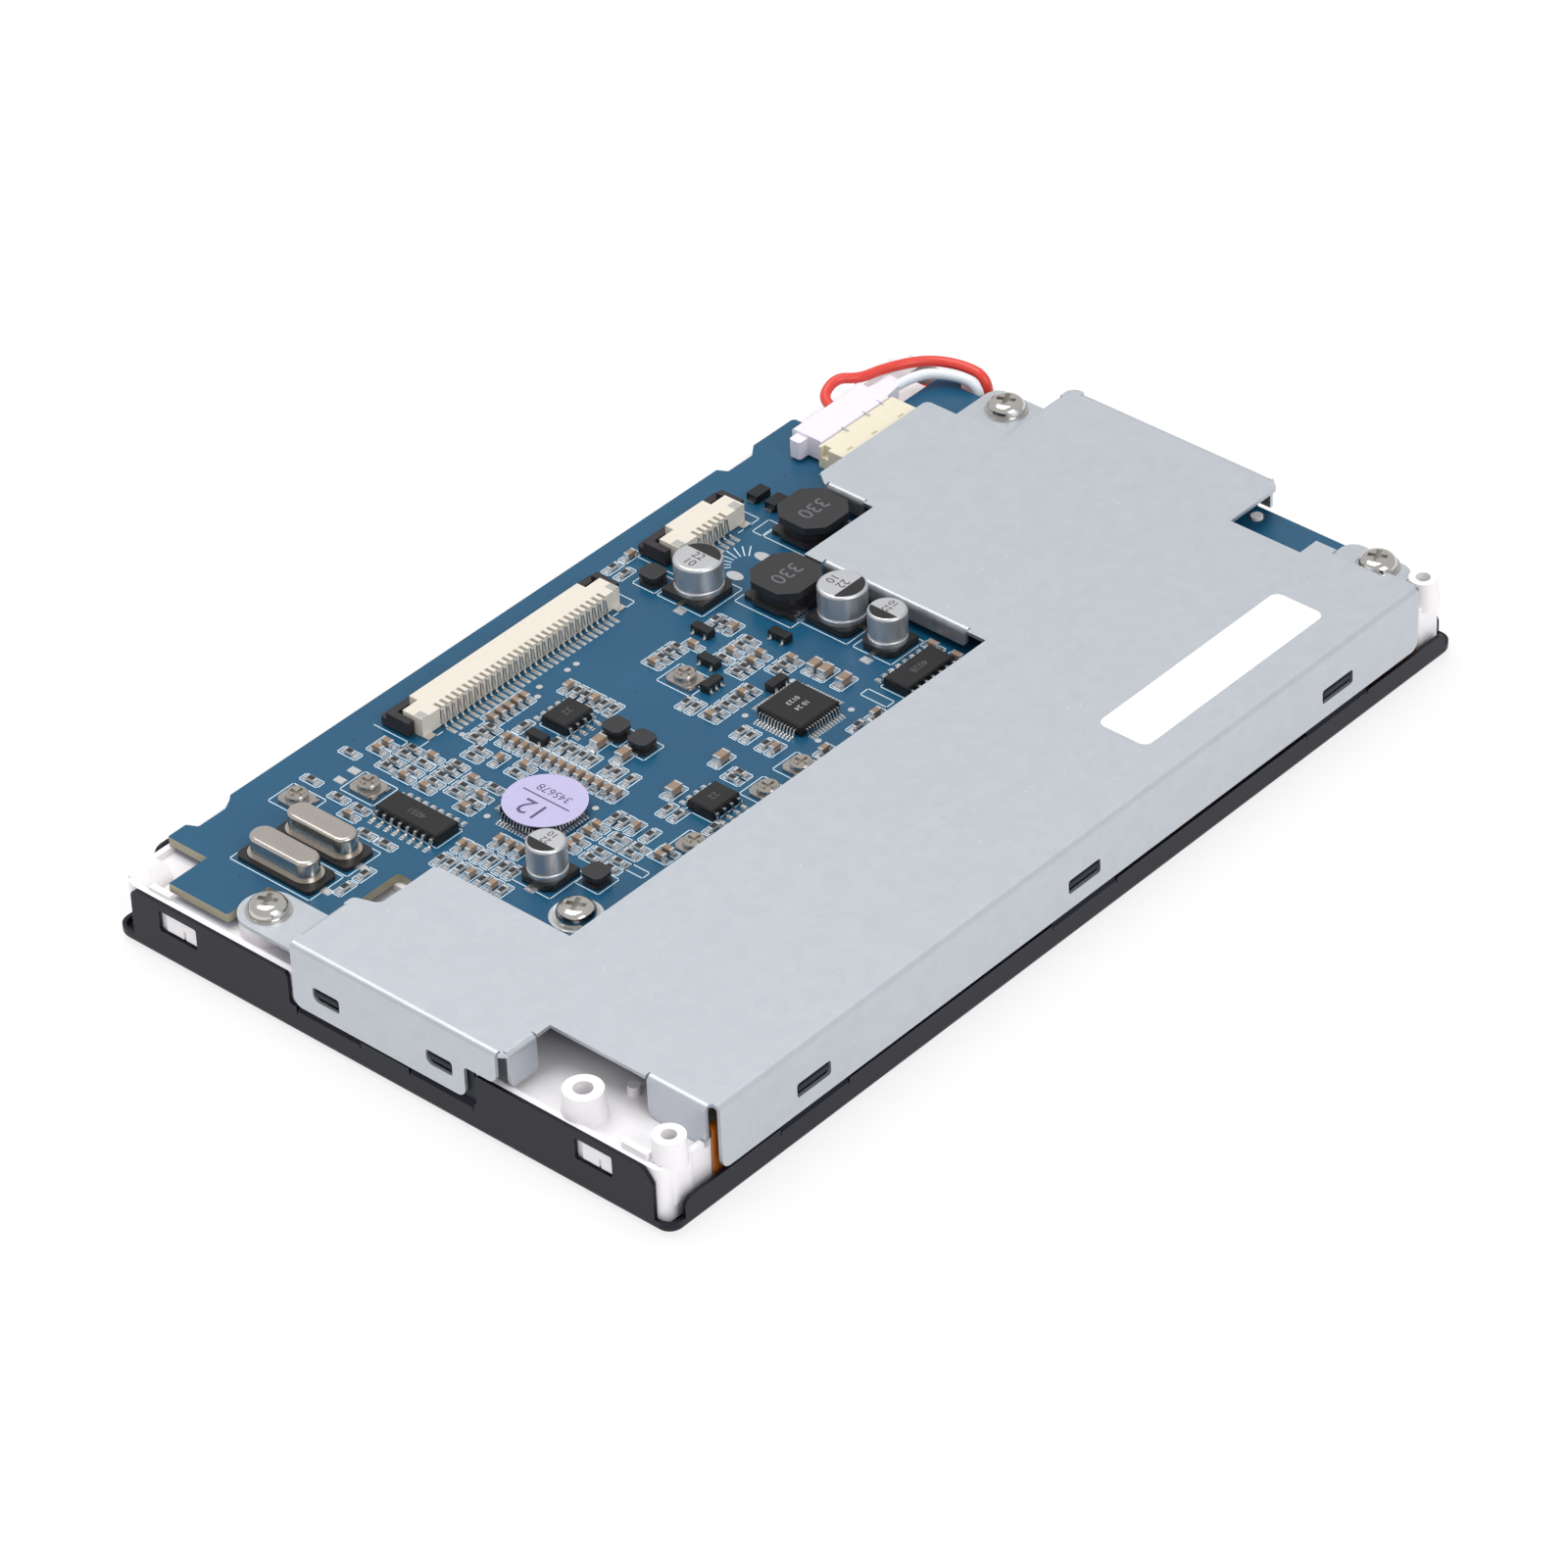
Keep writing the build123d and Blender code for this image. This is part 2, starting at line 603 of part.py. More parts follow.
for low, high in SIDE_SLOTS:
    side_flap -= wall_x(
        [(low, SLOT_LOW, 0.4), (high, SLOT_LOW, 0.9), (high, SLOT_HIGH, 0.4), (low, SLOT_HIGH, 0.4)], -1, 2
    )
right_flap = mirrored(side_flap) - block(LENGTH - 2, 20, 0, LENGTH + 1, 28.6, 20)
last_flap = Pos(NOTCH_X, 10.2, 0) * Rot(0, 0, -90) * round_flap(8.8, NOTCH_FLAP_LOW, 1.5)
notch_flap = Pos(1.1, 24.9, 0) * round_flap(4.5, 8.3, 0.8)
open_width = WIDTH - 28.3 - OPEN_Y - 3.2
open_flap = Pos(OPEN_X, WIDTH - 28.3, 0) * Rot(0, 0, -90) * round_flap(open_width, 10.9, 0.6)
step_flap = Pos(STEP_X, WIDTH - 17.6, 0) * Rot(0, 0, -90) * round_flap(5.9, 10.9, 0.6)
shield = sheet + long_flap + side_flap + right_flap + last_flap + notch_flap + open_flap + step_flap

# Pressed ears: each leaves the plate's edge on a steep ramp and lies flat under its screw.
RAMP = 2.2
RAMP_4 = 1.4
EAR_1_LEFT = 2.0
EAR_1_RIGHT = 9.4
EAR_3_LEFT = LENGTH - 13.4
EAR_3_RIGHT = LENGTH - 2.4
EAR_4_NEAR = 4.9
EAR_4_ROOT = 12.8
RAMP_1_TOP = EDGE_1 - 0.4
RAMP_3_TOP = EDGE_3 - 0.4
RAMP_4_TOP = EAR_STEP - 0.9


def ear_side(edge, ramp, end):
    """An ear's section, from the plate it overlaps by 1 mm to its end, going up in the first number."""
    foot = edge + ramp
    return [
        (edge - 1.0, LOW_PLATE),
        (edge - 0.1, LOW_PLATE, 0.4),
        (foot - 0.1, BOARD_TOP, 0.6),
        (end, BOARD_TOP),
        (end, EAR_TOP),
        (foot + 0.2, EAR_TOP, 0.5),
        (edge + 0.2, SHIELD_TOP, 0.6),
        (edge - 1.0, SHIELD_TOP),
    ]


shield -= block(EAR_1_LEFT, RAMP_1_TOP - 0.1, 10, EAR_1_RIGHT, EDGE_1 + 1, 20)
shield -= block(EAR_3_LEFT, RAMP_3_TOP - 0.1, 10, EAR_3_RIGHT, EDGE_3 + 1, 20)
shield -= block(RAMP_4_TOP - 0.1, EAR_4_NEAR, 10, EAR_STEP + 1, EAR_4_ROOT, 20)
EAR_1_FAR = WIDTH - 17.1
ear_1 = wall_x(ear_side(RAMP_1_TOP, RAMP, EAR_1_FAR), 0, 20)
ear_1 = ear_1 & plate(
    [(EAR_1_LEFT, 40), (EAR_1_RIGHT, 40), (EAR_1_RIGHT, EAR_1_FAR, 3.65), (EAR_1_LEFT, EAR_1_FAR, 3.65)], 5, 20
)
EAR_3_FAR = WIDTH - 17.0
ear_3 = wall_x(ear_side(RAMP_3_TOP, RAMP, EAR_3_FAR), LENGTH - 20, LENGTH)
ear_3 = ear_3 & plate(
    [
        (EAR_3_LEFT, 40),
        (EAR_3_RIGHT, 40),
        (EAR_3_RIGHT, EAR_3_FAR, 2.0),
        (LENGTH - 11.3, EAR_3_FAR, 1.2),
        (EAR_3_LEFT, WIDTH - 20.3),
    ],
    5,
    20,
)
EAR_4_FAR = 15.4
EAR_4_END = LENGTH - 1.2
ear_4 = wall_y(ear_side(RAMP_4_TOP, RAMP_4, EAR_4_END), 0, 20)
ear_4 = ear_4 & plate(
    [
        (LENGTH - 12, EAR_4_NEAR),
        (EAR_4_END, EAR_4_NEAR, 2.4),
        (EAR_4_END, EAR_4_FAR, 2.0),
        (LENGTH - 5.7, EAR_4_FAR, 1.0),
        (LENGTH - 6.6, EAR_4_ROOT),
        (LENGTH - 12, EAR_4_ROOT),
    ],
    5,
    20,
)
shield += ear_1 + ear_3 + ear_4
for x, y, seat in SCREWS:
    if seat == EAR_TOP:
        shield -= rod(x, y, 5, 20, SCREW_HOLE_R)
export("rear_shield", shield)

# Screws with a pan head and a cross recess.
screws = []
for x, y, seat in SCREWS:
    head = rod(0, 0, 0, HEAD_H, HEAD_R)
    head = fillet(head.edges().group_by(Axis.Z)[-1], 1.3)
    head += rod(0, 0, 0, COLLAR_H, COLLAR_R)
    shank = rod(0, 0, 0.3 - SCREW_LONG, 0.1, SCREW_R) + rod(0, 0, -SCREW_LONG, 0.31 - SCREW_LONG, 0.9, SCREW_R)
    recess = Box(0.7, 2.5, 1.4) + Box(2.5, 0.7, 1.4)
    recess = Pos(0, 0, HEAD_H) * Rot(0, 0, 25) * recess
    screws.append(Pos(x, y, seat) * (head + shank - recess))
export("mounting_screws", screws)

# Flexible circuit: from the lower glass, round the frame's near side and onto the board.
FLEX_OUT = 1.3
FLEX_TOP = BOARD_TOP + FLEX / 2 + 0.02
route = FilletPolyline(
    (5.2, Z_GLASS - FLEX / 2 - 0.02),
    (FLEX_OUT, Z_GLASS - FLEX / 2 - 0.02),
    (FLEX_OUT, FLEX_TOP),
    (6.6, FLEX_TOP),
    radius=0.6,
)
flex = extrude(trace(route, line_width=FLEX), amount=FLEX_X1 - FLEX_X0, dir=(0, 0, 1))
flex = Pos(FLEX_X0, 0, 0) * (Plane.YZ * flex)
flex -= block(FLEX_X0 - 1, 2.2, BOARD_LOW, 12.3, 10, 12)
flex -= block(BOARD_RIGHT - 0.3, 2.2, BOARD_LOW, LENGTH, 10, 12)
export("panel_flex", flex)

# Flat-cable connectors: housing with two rows of contact windows, end blocks, slider and contacts.
TOP = BOARD_TOP
PARTS_FAR = 87.65


def export_on_board(name, shape):
    """Move parts whose places are drawn with the board's far edge at PARTS_FAR to the real edge, and export them."""
    shapes = shape if isinstance(shape, list) else [shape]
    export(name, [Pos(0, BOARD_FAR - PARTS_FAR, 0) * one for one in shapes])


def connector(name, x0, x1, feet, far, near):
    """One connector between two x places, its contacts' places, its far side and its near side."""
    low = TOP + 0.1
    high = TOP + 2.75
    housing = block(x0, near, low, x1, far, high)
    for x in (x0, x1 - 2.6):
        housing -= block(x - 0.01, far - 1.4, low - 1, x + 2.61, far + 1, high + 1)
    housing -= block(x0 + 3.2, far - 2.6, low + 0.7, x1 - 3.2, far + 1, high - 0.7)
    for x in feet:
        housing -= block(x - 0.25, near - 1, low + 0.3, x + 0.25, near + 1.2, high + 1)
    export_on_board(name + "_housing", housing)
    slider = block(x0 - 1.2, far + 0.25, low + 0.15, x1 + 1.2, far + 1.35, low + 1.25)
    slider += block(x0 + 3.5, far - 2.2, low + 0.85, x1 - 3.5, far + 0.3, low + 1.25)
    for x in (x0 - 1.2, x1 + 0.2):
        slider += block(x, far - 3.4, low + 0.15, x + 1.0, far + 0.3, high - 0.5)
    slider = fillet(slider.edges().filter_by(Axis.Z).group_by(Axis.Y)[-1], 0.3)
    export_on_board(name + "_slider", slider)
    contacts = []
    for x in feet:
        pin = wall_x(
            [
                (near + 1.0, high - 0.25),
                (near - 0.15, high - 0.25, 0.2),
                (near - 0.6, TOP + 0.2, 0.3),
                (near - 1.9, TOP + 0.2),
                (near - 1.9, TOP + 0.01),
                (near - 0.4, TOP + 0.01, 0.2),
                (near + 0.25, high - 0.75),
                (near + 1.0, high - 0.75),
            ],
            x - 0.15,
            x + 0.15,
        )
        contacts.append(pin)
    for x in (x0 - 0.05, x1 - 1.35):
        contacts.append(block(x, near - 1.0, TOP + 0.01, x + 1.4, near - 0.02, TOP + 0.25))
    export_on_board(name + "_contacts", contacts)


connector("long_connector", 41.9, 77.0, [45.25 + i for i in range(30)], 82.0, 77.4)
connector("small_connector", 87.7, 99.9, [91.4 + i for i in range(6)], 81.8, 77.2)

# Backlight header, its plug and the two wires.
CORNER = Pos(LENGTH, WIDTH, 0)
header = block(-29.4, -15.0, TOP + 0.02, -15.2, -10.6, TOP + 3.1)
header -= block(-28.1, -13.2, TOP + 0.8, -16.5, -9.6, TOP + 2.3)
header -= block(-30.3, -12.2, TOP + 1.6, -28.7, -11.0, TOP + 4)
export("backlight_header", CORNER * header)
pins = [
    CORNER * block(-31.1, -14.2, TOP + 0.01, -29.45, -12.0, TOP + 0.3),
    CORNER * block(-15.15, -14.2, TOP + 0.01, -13.7, -12.0, TOP + 0.3),
]
for x in (-25.3, -19.3):
    pins.append(CORNER * block(x - 0.3, -16.6, TOP + 0.01, x + 0.3, -15.02, TOP + 0.3))
export("header_tabs", pins)
PLUG_LOW = TOP + 0.4
PLUG_TOP = TOP + 3.35
plug = block(-28.7, -10.45, PLUG_LOW, -15.7, -5.6, PLUG_TOP)
plug += block(-27.7, -13.0, TOP + 0.9, -16.9, -10.4, TOP + 2.2)
plug = fillet(plug.edges().group_by(Axis.Z)[-1].filter_by(Axis.X), 0.3)
wing = plate([(-30.3, -8.2, 0.4), (-28.6, -8.2), (-28.6, -6.4), (-30.3, -6.4, 0.4)], PLUG_LOW, PLUG_TOP - 0.4)
tail = plate([(-15.8, -9.6), (-11.9, -9.0, 0.4), (-11.7, -7.0, 0.5), (-15.8, -6.0)], PLUG_LOW + 0.2, PLUG_TOP - 0.8)
plug = CORNER * (plug + wing + tail)
WIRE_R = 0.7
WIRE_BORE = WIRE_R + 0.05
# The wires' corners, measured back from the module's far right corner.
RED = [
    (LENGTH - x, WIDTH - y, z)
    for x, y, z in (
        (20.7, 6.8, 11.6),
        (20.7, 3.2, 11.6),
        (16.7, 2.2, 12.9),
        (14.5, 4.6, 12.6),
        (9.9, 4.4, 11.6),
        (4.7, 7.0, 11.4),
        (2.4, 11.2, 11.2),
        (2.3, 15.7, 10.9),
        (2.3, 15.4, 5.2),
        (2.5, 9.2, 4.9),
        (2.5, WIDTH - RED_END[0], RED_END[1]),
        (5.5, WIDTH - RED_END[0], RED_END[1]),
    )
]
WHITE = [
    (LENGTH - x, WIDTH - y, z)
    for x, y, z in (
        (13.3, 8.0, 11.3),
        (8.1, 8.0, 11.3),
        (4.9, 11.0, 11.0),
        (3.9, 15.7, 10.8),
        (3.9, 15.4, 4.4),
        (4.0, 11.0, 3.8),
        (3.7, 7.2, 3.65),
        (3.3, WIDTH - WHITE_END[0], WHITE_END[1]),
        (5.5, WIDTH - WHITE_END[0], WHITE_END[1]),
    )
]
plug -= Pos(*RED[0]) * Rot(-90, 0, 0) * rod(0, 0, 0, 3, WIRE_BORE)
plug -= Pos(*WHITE[0]) * Rot(0, 90, 0) * rod(0, 0, 0, 3, WIRE_BORE)
export("backlight_plug", plug)


def wire(name, points):
    """A round wire: straight runs joined by arcs as large as the runs leave room for."""
    runs = [Vector(*b) - Vector(*a) for a, b in zip(points, points[1:])]
    radii = []
    for one, two in zip(runs, runs[1:]):
        half = radians(one.get_angle(two)) / 2
        radii.append(0.45 * min(one.length, two.length) / tan(half))
    path = FilletPolyline(*points, radius=radii)
    tube = sweep(Plane(origin=points[0], z_dir=runs[0]) * Circle(WIRE_R), path=path)
    export(name, tube)
    length = path.length
    print(name, "length", round(length, 2), "section volume", round(pi * WIRE_R**2 * length, 2))
    print(name, "radii", [round(r, 1) for r in radii])


wire("red_wire", RED)
wire("white_wire", WHITE)

# Can capacitors: the cans, their bases and their soldered tabs. The last number turns the base.
CANS = [(85.2, 71.6, 3.15, 0), (91.9, 54.0, 3.15, 270), (91.4, 46.3, 2.5, 180), (31.4, 47.2, 2.5, 180)]
CAN_TOP = TOP + 5.4
CAN_BASE = TOP + 1.0
bases = []
tabs = []
for i, (x, y, r, turned) in enumerate(CANS):
    can = rod(0, 0, CAN_BASE, CAN_TOP, r)
    can = fillet(can.edges().group_by(Axis.Z)[-1], 0.45)
    can -= Pos(0, 0, CAN_BASE + 0.9) * Torus(r + 0.1, 0.3)
    export_on_board("capacitor_can_" + str(i + 1), Pos(x, y, 0) * can)
    half = r + 0.15
    corner = half - 0.9
    base = plate(
        [(-half, -half), (corner, -half), (half, -corner), (half, corner), (corner, half), (-half, half)],
        TOP + 0.03,
        CAN_BASE,
    )
    bases.append(Pos(x, y, 0) * Rot(0, 0, turned) * base)
    for side in (0, 180):
        tab = Rot(0, 0, side) * block(half + 0.02, -0.35, TOP + 0.01, half + 0.7, 0.35, TOP + 0.25)
        tabs.append(Pos(x, y, 0) * Rot(0, 0, turned) * tab)
export_on_board("capacitor_bases", bases)
export_on_board("capacitor_tabs", tabs)

# Coils: two power inductors, then the four small ones.
COIL = 4.05
COIL_H = 3.7
for i, (x, y) in enumerate([(91.0, 62.4), (103.6, 69.0)]):
    cut = COIL - 1.9
    outline = []
    for a, b in ((COIL, cut), (cut, COIL), (-cut, COIL), (-COIL, cut)):
        outline.append((a, b, 0.5))
    outline += [(-a, -b, r) for a, b, r in outline]
    coil = plate(outline, TOP + 0.5, TOP + COIL_H)
    coil -= rod(0, 0, TOP + 1.1, TOP + 2.7, 10) - rod(0, 0, TOP + 1.0, TOP + 2.8, COIL - 0.35)
    foot = plate([(-3.5, -4.1, 0.4), (3.5, -4.1, 0.4), (3.5, 4.1, 0.4), (-3.5, 4.1, 0.4)], TOP + 0.02, TOP + 0.7)
    coil = coil + foot
    export_on_board("power_inductor_" + str(i + 1), Pos(x, y, 0) * coil)
SMALL_COIL_H = 1.6
SMALL_OUTLINE = []
for a, b in ((1.5, 0.95), (0.95, 1.5), (-0.95, 1.5), (-1.5, 0.95)):
    SMALL_OUTLINE.append((a, b, 0.2))
SMALL_OUTLINE += [(-a, -b, r) for a, b, r in SMALL_OUTLINE]
small = []
for x, y in [(34.3, 42.1), (57.0, 59.7), (57.0, 55.5), (83.3, 77.6)]:
    coil = plate(SMALL_OUTLINE, TOP + 0.02, TOP + 0.4)
    coil += plate(SMALL_OUTLINE, TOP + SMALL_COIL_H - 0.45, TOP + SMALL_COIL_H)
    coil += rod(0, 0, TOP + 0.3, TOP + SMALL_COIL_H - 0.4, 1.25)
    small.append(Pos(x, y, 0) * coil)
export_on_board("small_inductors", small)

# Crystals: stadium cans with a flange, each on a black base.
seats = []
for i, (x, y) in enumerate([(13.3, 72.4), (19.4, 72.15)]):
    seat = plate([(-2.45, -6.1, 0.8), (2.45, -6.1, 0.8), (2.45, 6.1, 0.8), (-2.45, 6.1, 0.8)], TOP + 0.02, TOP + 0.6)
    seats.append(Pos(x, y, 0) * seat)
    flange = plate([(-2.1, -5.5, 2.0), (2.1, -5.5, 2.0), (2.1, 5.5, 2.0), (-2.1, 5.5, 2.0)], TOP + 0.6, TOP + 0.95)
    can = plate([(-1.7, -5.1, 1.65), (1.7, -5.1, 1.65), (1.7, 5.1, 1.65), (-1.7, 5.1, 1.65)], TOP + 0.9, TOP + 3.5)
    can = fillet(can.edges().group_by(Axis.Z)[-1], 0.45)
    export_on_board("crystal_can_" + str(i + 1), Pos(x, y, 0) * (flange + can))
export_on_board("crystal_bases", seats)

# Chips with gull-wing leads. The turn is the direction the first row of leads faces.
CHIP_H = 1.5


def lead(start, wide, toe):
    """One gull-wing lead that leaves the body at the start, faces +x and reaches out to the toe."""
    profile = [
        (start, 1.0),
        (start + 0.45, 1.0),
        (start + 0.72, 0.21),
        (start + toe, 0.21),
        (start + toe, 0.02),
        (start + 0.56, 0.02),
        (start + 0.3, 0.8),
        (start, 0.8),
    ]
    return Pos(0, 0, TOP) * wall_y(profile, -wide / 2, wide / 2)


def chip_body(half_x, half_y):
    """A moulded body with a bevelled upper edge."""
    body = block(-half_x, -half_y, TOP + 0.1, half_x, half_y, TOP + CHIP_H)
    return chamfer(body.edges().group_by(Axis.Z)[-1], 0.18)


so_leads = []
SO = [
    ("logic_chip_a", 29.3, 66.35, 0, 8, 9.9),
    ("logic_chip_b", 88.75, 39.1, 90, 7, 8.65),
    ("amplifier_chip_a", 55.35, 66.2, 90, 4, 4.9),
    ("amplifier_chip_b", 53.8, 41.2, 90, 4, 4.9),
]
SO_PITCH = 1.27
SO_HALF = 1.95
for name, x, y, turned, count, long in SO:
    place = Pos(x, y, 0) * Rot(0, 0, turned)
    export_on_board(name, place * chip_body(SO_HALF, long / 2))
    one = lead(SO_HALF, 0.4, 1.35)
    for i in range(count):
        shift = (i - (count - 1) / 2) * SO_PITCH
        so_leads.append(place * Pos(0, shift, 0) * one)
        so_leads.append(place * Rot(0, 0, 180) * Pos(0, shift, 0) * one)
export_on_board("long_chip_leads", so_leads)
square_leads = []
SQUARE_HALF = 3.5
for name, x, y in (("processor_chip_a", 39.9, 56.1), ("processor_chip_b", 73.9, 45.5)):
    export_on_board(name, Pos(x, y, 0) * chip_body(SQUARE_HALF, SQUARE_HALF))
    one = lead(SQUARE_HALF, 0.22, 1.15)
    for side in range(4):
        for i in range(12):
            place = Pos(x, y, 0) * Rot(0, 0, 90 * side) * Pos(0, (i - 5.5) * 0.5, 0)
            square_leads.append(place * one)
export_on_board("square_chip_leads", square_leads)
export_on_board("round_sticker", rod(40.5, 56.05, TOP + CHIP_H, TOP + CHIP_H + 0.1, 5.2))

# Trimmers: bodies, each with a rotor that turns on a pivot in it.
TRIMMERS = [(23.5, 80.6), (30.5, 75.5), (46.3, 37.5), (70.4, 60.7), (59.6, 37.7), (65.7, 37.8)]
ROTOR_R = 1.4
ROTOR_H = 0.45
PIVOT_R = 0.5
PIVOT_GAP = 0.05
TRIM_H = 0.75
TRIM_OUTLINE = []
for a, b in ((1.7, 1.5), (1.1, 2.1), (-1.1, 2.1), (-1.7, 1.5)):
    TRIM_OUTLINE.append((a, b))
TRIM_OUTLINE += [(-a, -b) for a, b in TRIM_OUTLINE]
trimmer_bodies = []
for i, (x, y) in enumerate(TRIMMERS):
    body = plate(TRIM_OUTLINE, TOP + 0.02, TOP + 0.4)
    body += rod(0, 0, TOP + 0.3, TOP + TRIM_H, ROTOR_R + 0.1, ROTOR_R - 0.05)
    for a, b in ((-1.1, -2.25), (1.1, -2.25), (0, 2.25)):
        body += block(a - 0.45, min(b, b * 0.85), TOP + 0.02, a + 0.45, max(b, b * 0.85), TOP + 0.3)
    body -= rod(0, 0, TOP + 0.3, TOP + 3, PIVOT_R + PIVOT_GAP)
    trimmer_bodies.append(Pos(x, y, 0) * body)
    rotor_low = TOP + TRIM_H + 0.12
    rotor = rod(0, 0, rotor_low, rotor_low + ROTOR_H, ROTOR_R)
    rotor = chamfer(rotor.edges().group_by(Axis.Z)[-1], 0.15)
    rotor -= rod(0, 0, rotor_low + ROTOR_H - 0.15, rotor_low + ROTOR_H + 0.01, 0.85, 1.05)
    rotor += rod(0, 0, TOP + 0.35, rotor_low + 0.05, PIVOT_R)
    rotor -= Pos(0, 0, rotor_low + ROTOR_H) * (Box(0.4, 1.9, 0.7) + Box(1.9, 0.4, 0.7))
    export_on_board("trimmer_rotor_" + str(i + 1), Pos(x, y, 0) * rotor)
export_on_board("trimmer_bodies", trimmer_bodies)

# Small chips on the board. Each row is (x places, y places, turned): turned ones lie along x.
CHIP_LONG = 1.6
CHIP_WIDE = 0.8
RESISTOR_H = 0.5
CAPACITOR_H = 0.85
RESISTORS = [
    ([27.4], [82.0], 0),
    ([34.2], [82.2], 0),
    ([14.7, 18.0], [64.2], 1),
    ([23.8], [69.5, 66.3], 0),
    ([26.9], [77.0, 73.5], 0),
    ([34.9, 36.3, 38.1, 39.5], [76.8], 0),
    ([36.3, 38.1], [73.8], 0),
    ([36.2, 37.7, 39.1, 40.5], [70.3], 0),
    ([36.3, 37.8], [66.8], 0),
    ([36.1, 39.9], [63.8], 0),
    ([42.8, 44.3], [70.2], 0),
    ([45.7, 47.0, 48.4], [72.4], 0),
    ([43.6], [63.8], 0),
    ([51.1], [69.5, 64.3, 62.8, 61.4, 59.9, 58.4, 55.6, 54.3, 52.2], 1),
    ([60.4], [69.2, 67.8, 64.9, 63.4], 1),
    ([25.8], [59.2, 57.7, 56.1, 52.6, 49.4], 1),
    ([29.2], [55.9, 54.2, 52.4, 50.9], 1),
    ([37.0, 38.5, 40.5, 42.0], [45.5, 42.5], 0),
    ([44.6], [48.6, 47.2, 43.1], 1),
    ([49.6], [44.9, 43.1], 1),
    ([50.4], [38.2], 1),
    ([76.3], [38.2], 1),
    ([66.9], [57.4, 55.9], 1),
    ([71.9, 73.3, 74.7], [65.9], 0),
    ([76.5, 79.8, 81.3], [60.0], 0),
    ([75.3, 76.7], [56.7], 0),
    ([81.9], [66.0, 64.6], 1),
    ([68.0, 69.5, 71.0, 73.8, 78.6, 80.0], [53.2], 0),
    ([66.6], [48.3, 46.8, 44.3], 1),
    ([59.0, 60.4], [42.9], 0),
    ([82.2], [83.4, 81.4], 1),
]
CAPACITORS = [
    ([25.1], [73.6], 0),
    ([36.7, 38.3], [79.9], 0),
    ([34.7, 39.7], [73.7], 0),
    ([34.7], [70.3, 63.8], 0),
    ([39.5], [66.8], 0),
    ([37.7], [63.8], 0),
    ([49.8, 51.2, 52.6, 54.0, 55.4], [73.4], 0),
    ([44.3], [67.2], 1),
    ([45.3], [63.8], 0),
    ([47.9], [69.4, 67.9, 66.4, 64.9, 63.4, 61.9, 60.4, 58.9, 57.4, 55.9, 54.4, 52.9, 51.4], 1),
    ([60.4], [70.7, 66.4], 1),
    ([25.8], [54.4, 50.9], 1),
    ([29.2], [59.0, 57.5], 1),
    ([32.6], [56.2, 54.5, 52.8], 1),
    ([37.0, 38.5, 40.5, 42.0], [49.0], 0),
    ([44.6], [45.4], 1),
    ([42.2, 43.6], [39.3], 0),
    ([70.0, 79.4], [38.0], 1),
    ([70.4], [65.9], 0),
    ([76.2], [64.6], 0),
    ([78.1], [60.0, 56.7], 0),
    ([79.9], [56.9], 0),
    ([81.9], [63.1], 1),
    ([66.6, 72.4, 81.5], [53.2], 0),
    ([66.6], [42.8], 1),
    ([94.3], [41.6, 37.8], 0),
    ([85.4], [83.4], 1),
]
BIG_CAPACITORS = [(54.1, 60.0), (54.1, 56.0), (52.7, 46.6), (61.0, 46.4), (82.0, 50.0), (82.0, 48.2), (82.0, 45.3)]


def chips(rows, high):
    """Small square-cornered chips at every place in the rows."""
    upright = block(-CHIP_WIDE / 2, -CHIP_LONG / 2, TOP + 0.01, CHIP_WIDE / 2, CHIP_LONG / 2, TOP + high)
    found = []
    for xs, ys, turned in rows:
        for x in xs:
            for y in ys:
                found.append(Pos(x, y, 0) * Rot(0, 0, 90 * turned) * upright)
    return found


export_on_board("chip_resistors", chips(RESISTORS, RESISTOR_H))
large = [block(x - 1.0, y - 0.62, TOP + 0.01, x + 1.0, y + 0.62, TOP + 1.1) for x, y in BIG_CAPACITORS]
export_on_board("chip_capacitors", chips(CAPACITORS, CAPACITOR_H) + large)

# Transistors: a body with one lead on one side and two or three on the other.
TRANSISTORS = [
    (50.2, 66.3, 0, 1),
    (74.6, 60.5, 0, 1),
    (78.9, 65.4, 0, 1),
    (76.3, 51.1, 90, 1),
    (84.0, 57.3, 0, 1),
    (71.3, 57.2, 90, 3),
]
transistors = []
for x, y, turned, single in TRANSISTORS:
    body = block(-0.65, -1.45, TOP + 0.08, 0.65, 1.45, TOP + 1.1)
    rows = [(-1, (-0.95, 0.95)), (1, (0,))]
    if single == 3:
        rows = [(-1, (-0.95, 0, 0.95)), (1, (-0.95, 0, 0.95))]
    for side, shifts in rows:
        for shift in shifts:
            foot = block(0.6, shift - 0.2, TOP + 0.02, 1.2, shift + 0.2, TOP + 0.2)
            foot += block(0.6, shift - 0.2, TOP + 0.1, 0.8, shift + 0.2, TOP + 0.65)
            body += Rot(0, 0, 0 if side > 0 else 180) * foot
    transistors.append(Pos(x, y, 0) * Rot(0, 0, turned) * body)
export_on_board("transistors", transistors)
diodes = []
for x, y in [(105.0, 79.4), (105.0, 76.4)]:
    body = block(-1.3, -0.85, TOP + 0.1, 1.3, 0.85, TOP + 1.15)
    for side in (0, 180):
        body += Rot(0, 0, side) * block(1.2, -0.5, TOP + 0.02, 1.75, 0.5, TOP + 0.35)
    diodes.append(Pos(x, y, 0) * body)
export_on_board("diodes", diodes)

# The blank label on the shield.
export(
    "rear_label",
    plate([(90.8, 5.4, 1.2), (125.1, 5.4, 1.2), (125.1, 13.0, 1.2), (90.8, 13.0, 1.2)], SHIELD_TOP, SHIELD_TOP + 0.1),
)
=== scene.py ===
"""A colour LCD module that lies glass down, seen from behind: materials and fine detail on the CAD frame."""
import math

